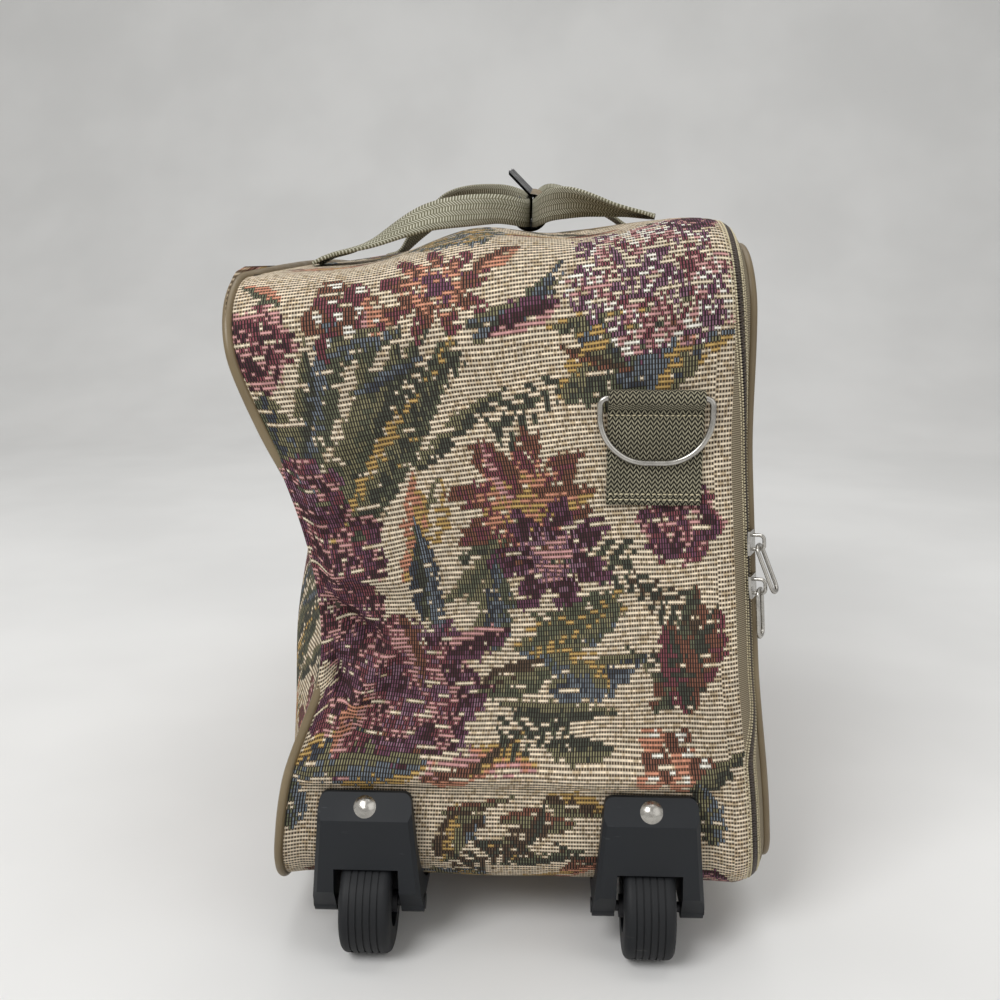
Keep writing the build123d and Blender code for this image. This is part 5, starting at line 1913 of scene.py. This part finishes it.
@dataclass
class RingTab:
    """A webbing tab that is folded over a D-ring and sewn to one end of the case.

    Attributes:
        name: Name of the tab.
        end: -1 at the wheel end and 1 at the far end.
        webbing: Finish of the tab.
        stitch: Finish of its stitches.
        centre: X of its middle.
        width: Width of the webbing.
        foot: Height of its sewn foot.
        front: Distance of its front face from the case's middle.
        back: The same for its back.
        ring_y: The same for the ring's wire.
        ring_z: Height of the wire.
        wire: Radius of the wire.
        loop: Distance from the wire to the outside of the fold over it.
        stitches: Stitches in a row.
    """

    name: str
    end: float
    webbing: Material
    stitch: Material
    centre: float = 77.0
    width: float = 50.0
    foot: float = 270.0
    front: float = 273.0
    back: float = 270.3
    ring_y: float = 275.1
    ring_z: float = 327.0
    wire: float = 1.9
    loop: float = 2.7
    stitches: int = 17

    def profile(self) -> Array:
        """Outline in (out, z): up the front, over the wire, and down behind."""
        rise = np.linspace(self.foot, self.ring_z - 6, 12)
        fall = np.linspace(self.ring_z - 3, self.foot, 8)
        front = np.column_stack([np.full(12, self.front), rise])
        turn = np.radians(np.linspace(-40, 200, 20))
        outer = circle(turn, self.wire + self.loop) + [self.ring_y, self.ring_z]
        back = np.column_stack([np.full(8, self.back), fall])
        return np.concatenate([front, outer, back])

    def build(self) -> None:
        """Build the tab and the rows of stitches along its foot."""
        ring = self.profile()
        columns = np.linspace(-0.5, 0.5, 13)
        lift = 0.35 * np.cos(columns * 9.0)
        x = self.centre + columns * self.width
        out = ring[:, :1] + lift * (ring[:, :1] > self.front - 0.5)
        points = stacked(x[None, :], self.end * out, ring[:, 1:])
        run = distances(ring)
        run = np.concatenate([run, [run[-1] + 3.0]])
        grid = Grid(points, lattice(x, run), True, False, flip=self.end > 0)
        sides = [self.cap(points[:, 0], self.end > 0), self.cap(points[:, -1], self.end < 0)]
        piece = make_piece(f"{self.name}_webbing", [grid, *sides], self.webbing)
        place_piece(piece, "bag", "webbing", self.name)
        rows = []
        ways = np.tile([1.0, 0.0, 0.0], (self.stitches, 1))
        ups = np.tile([0.0, self.end, 0.0], (self.stitches, 1))
        places = np.linspace(-0.46, 0.46, self.stitches) * self.width + self.centre
        for height in (self.foot + 3.0, self.foot + 6.0, self.ring_z - 9.0):
            centres = stacked(places, self.end * (self.front + 0.6), height)
            rows.append(beads(centres, ways, ups, (1.0, 0.45, 0.35)))
        place_piece(make_piece(f"{self.name}_stitches", rows, self.stitch), "bag", "webbing")

    def cap(self, rim: Array, flip: bool) -> Grid:
        """Close one side of the tab with strips from its front to its back."""
        count = len(rim) // 2
        front, back = rim[:count], rim[::-1][:count]
        points = np.stack([front, back], axis=1)
        pattern = np.stack([points[..., 1], points[..., 2]], axis=-1)
        return Grid(points, pattern, flip=flip)


@dataclass
class Fittings:
    """Finishes of the CAD solids that stay in view.

    Attributes:
        nodes: The frame's CAD objects by name.
        moulded: Colours of each moulding and of its scuffs, roughness, amount of scuffs and grain.
        metals: Colour and roughness of each metal.
        pairs: Finish of the parts that come as a left and a right one.
    """

    nodes: dict[str, bpy.types.Object]

    moulded: ClassVar[dict[str, tuple]] = {
        "moulded_black": ("14171b", "55585c", 0.5),
        "wheel_rubber": ("0f1114", "66645f", 0.62, 0.5, 0.3),
        "wheel_core": ("1c1c1f", "4a4a4c", 0.5),
        "grip_black": ("2a2a2d", "5c5c5e", 0.55, 0.2, 0.4),
        "bush_black": ("303033", "5c5c5e", 0.5, 0.15),
        "board_black": ("3a3733", "5e5a52", 0.75, 0.3, 0.5),
        "tube_paint": ("2a2a2e", "80807e", 0.35, 0.3, 0.05),
    }
    metals: ClassVar[dict[str, tuple[str, float]]] = {
        "nickel_plate": ("b4b1ab", 0.18),
        "axle_steel": ("3c3c3e", 0.35),
        "tube_bright": ("d6d6d8", 0.22),
    }
    pairs: ClassVar[dict[str, str]] = {
        "housing": "moulded_black",
        "foot": "moulded_black",
        "tyre": "wheel_rubber",
        "hub": "wheel_core",
        "axle": "axle_steel",
        "outer_tube": "tube_paint",
        "inner_tube": "tube_bright",
        "guide_bush": "bush_black",
        "slide_plug": "bush_black",
    }

    def wearers(self) -> dict[str, str]:
        """Name of the finish that each CAD solid wears."""
        worn: dict[str, str] = {}
        for side in ("left", "right"):
            worn.update({f"{side}_{part}": look for part, look in self.pairs.items()})
        zips = ("upper_slider", "upper_pull", "lower_slider", "lower_pull")
        worn.update(dict.fromkeys((*zips, "near_d_ring", "far_d_ring", "rivets"), "nickel_plate"))
        worn.update(dict.fromkeys(("front_bracket", "rear_bracket"), "bush_black"))
        worn.update(handle_socket="moulded_black", grip="grip_black", base_board="board_black")
        return worn

    def dress(self) -> None:
        """Give every remaining CAD solid its finish."""
        looks: dict[str, Material] = {}
        for name, (base, scuff, *rest) in self.moulded.items():
            looks[name] = MouldedFinish(name, linear(base), linear(scuff), *rest).build()
        for name, (base, roughness) in self.metals.items():
            looks[name] = MetalFinish(name, linear(base), roughness).build()
        for name, look in self.wearers().items():
            solid = self.nodes[name]
            solid.data.materials.clear()
            solid.data.materials.append(looks[look])
            LOG.info("%s keeps its solid", name)


@dataclass
class Studio:
    """Floor, lamps, world and camera.

    Attributes:
        view: The photograph's camera.
        ambient: Strength of the light from all round.
        backdrop: Strength of the world where it is seen.
        floor_reach: How far the floor goes to the sides and to the front, in metres.
        bend_start: Where the floor starts to curve up, behind the case.
        bend_radius: Radius of that curve.
        wall_height: Height of the backdrop.
    """

    view: PhotoView
    ambient: float = 0.4
    backdrop: float = 0.68
    floor_reach: float = 14.0
    bend_start: float = 1.4
    bend_radius: float = 1.2
    wall_height: float = 4.0

    def floor(self) -> None:
        """A pale floor that curves up into a backdrop."""
        turn = np.linspace(0, math.pi / 2, 24)[1:]
        level = np.linspace(-self.floor_reach, self.bend_start, 24)
        bend = self.bend_start + self.bend_radius * np.sin(turn)
        sweep = np.concatenate([level, bend, np.full(8, bend[-1])])
        wall = np.linspace(self.bend_radius + 0.2, self.wall_height, 8)
        rise = np.concatenate([0 * level, self.bend_radius * (1 - np.cos(turn)), wall])
        x = np.linspace(-self.floor_reach, self.floor_reach, 29)
        points = stacked(x[None, :], sweep[:, None], rise[:, None]) / MM
        n = Nodes("floor_paper")
        cloud = n.ease(n.noise(3.0, 3.0), 0.3, 0.7)
        n.set("Base Color", n.blend(cloud, linear("e2e2e1"), linear("eaeae9")))
        n.set("Roughness", 0.9)
        floor = make_piece("studio_floor", [Grid(points, points[..., :2])], n.material)

    def lamp(
        self, name: str, place: Sequence[float], aim: Sequence[float], size: float, power: float
    ) -> None:
        """Hang one soft lamp.

        Args:
            name: Name of the lamp.
            place: Where it hangs, in metres.
            aim: What it points at.
            size: Side of its square face.
            power: Its power in watts.
        """
        data = bpy.data.lights.new(name, "AREA")
        data.size, data.energy = size, power
        lamp = bpy.data.objects.new(name, data)
        lamp.location = place
        away = np.array(aim) - np.array(place)
        flat = math.hypot(away[0], away[1])
        lamp.rotation_euler = (math.atan2(flat, -away[2]), 0.0, math.atan2(-away[0], away[1]))
        bpy.context.scene.collection.objects.link(lamp)

    def camera(self) -> None:
        """Set the camera at the photograph's place."""
        data = bpy.data.cameras.new("camera")
        sensor, pixels = 36.0, 1000.0
        data.sensor_width = sensor
        data.lens = self.view.focal * sensor / pixels
        data.clip_start = 0.05
        camera = bpy.data.objects.new("camera", data)
        camera.location = [c * MM for c in self.view.place]
        tilt, turn = math.radians(90 - self.view.pitch), math.radians(self.view.yaw)
        camera.rotation_euler = (tilt, 0.0, turn)
        bpy.context.scene.collection.objects.link(camera)
        bpy.context.scene.camera = camera

    def world(self) -> None:
        """Light from all round, stronger where it is seen, directly or in a reflection."""
        world = bpy.data.worlds.new("studio")
        world.use_nodes = True
        tree = world.node_tree
        colour, strength = tree.nodes["Background"].inputs[:2]
        colour.default_value = (1.0, 0.99, 0.97, 1.0)
        path = tree.nodes.new("ShaderNodeLightPath")
        seen = path.outputs["Is Camera Ray"]
        for ray in ("Is Glossy Ray", "Is Transmission Ray"):
            either = tree.nodes.new("ShaderNodeMath")
            either.operation = "MAXIMUM"
            tree.links.new(seen, either.inputs[0])
            tree.links.new(path.outputs[ray], either.inputs[1])
            seen = either.outputs[0]
        level = tree.nodes.new("ShaderNodeMapRange")
        level.inputs["To Min"].default_value = self.ambient
        level.inputs["To Max"].default_value = self.backdrop
        tree.links.new(seen, level.inputs["Value"])
        tree.links.new(level.outputs[0], strength)
        bpy.context.scene.world = world

    def build(self) -> None:
        """Build the whole studio."""
        self.floor()
        self.lamp("key", (-0.9, -1.5, 1.7), (0, -0.1, 0.2), 1.0, 26)
        self.lamp("fill", (1.3, -1.4, 1.0), (0, -0.1, 0.2), 1.6, 6)
        self.lamp("top", (0.1, 0.3, 2.2), (0, 0, 0.2), 1.8, 19)
        self.world()
        bpy.context.scene.view_settings.view_transform = "Standard"
        self.camera()


def main() -> None:
    """Build the suitcase's pieces in order, then the studio."""
    logging.basicConfig(level=logging.INFO, format="%(name)s: %(message)s")
    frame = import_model()
    view = PhotoView()
    form = CaseForm()
    tapestry = TapestryFinish().build()
    lining = ClothFinish("lining", linear("5d564b"), linear("3d382f")).build()
    webbing = WebbingFinish().build()
    stitch = ClothFinish("stitch_thread", linear("e4dac0"), linear("b5a985"), 0.5).build()
    tooth = VinylFinish("zip_tooth", linear("3a312b"), linear("5a4d40"), 0.35).build()
    vinyl = VinylFinish("piping_vinyl", linear("6c5d43"), linear("7f7054")).build()
    TapestryShell(form, TapestryPattern(view), tapestry, lining).build()
    PipingTrim(form, vinyl).build()
    ZipFastener(form, RibbedTapeFinish().build(), tooth, stitch).build()
    strap = WebbingFinish("strap_webbing", linear("c6c3b1"), linear("67644f"), 2.0, 9.0).build()
    CarryHandles(strap, WrapFinish().build()).build()
    for name, end in (("near_tab", -1.0), ("far_tab", 1.0)):
        RingTab(name, end, webbing, stitch).build()
    Fittings(frame["nodes"]).dress()
    Studio(view).build()


if __name__ == "__main__":
    main()
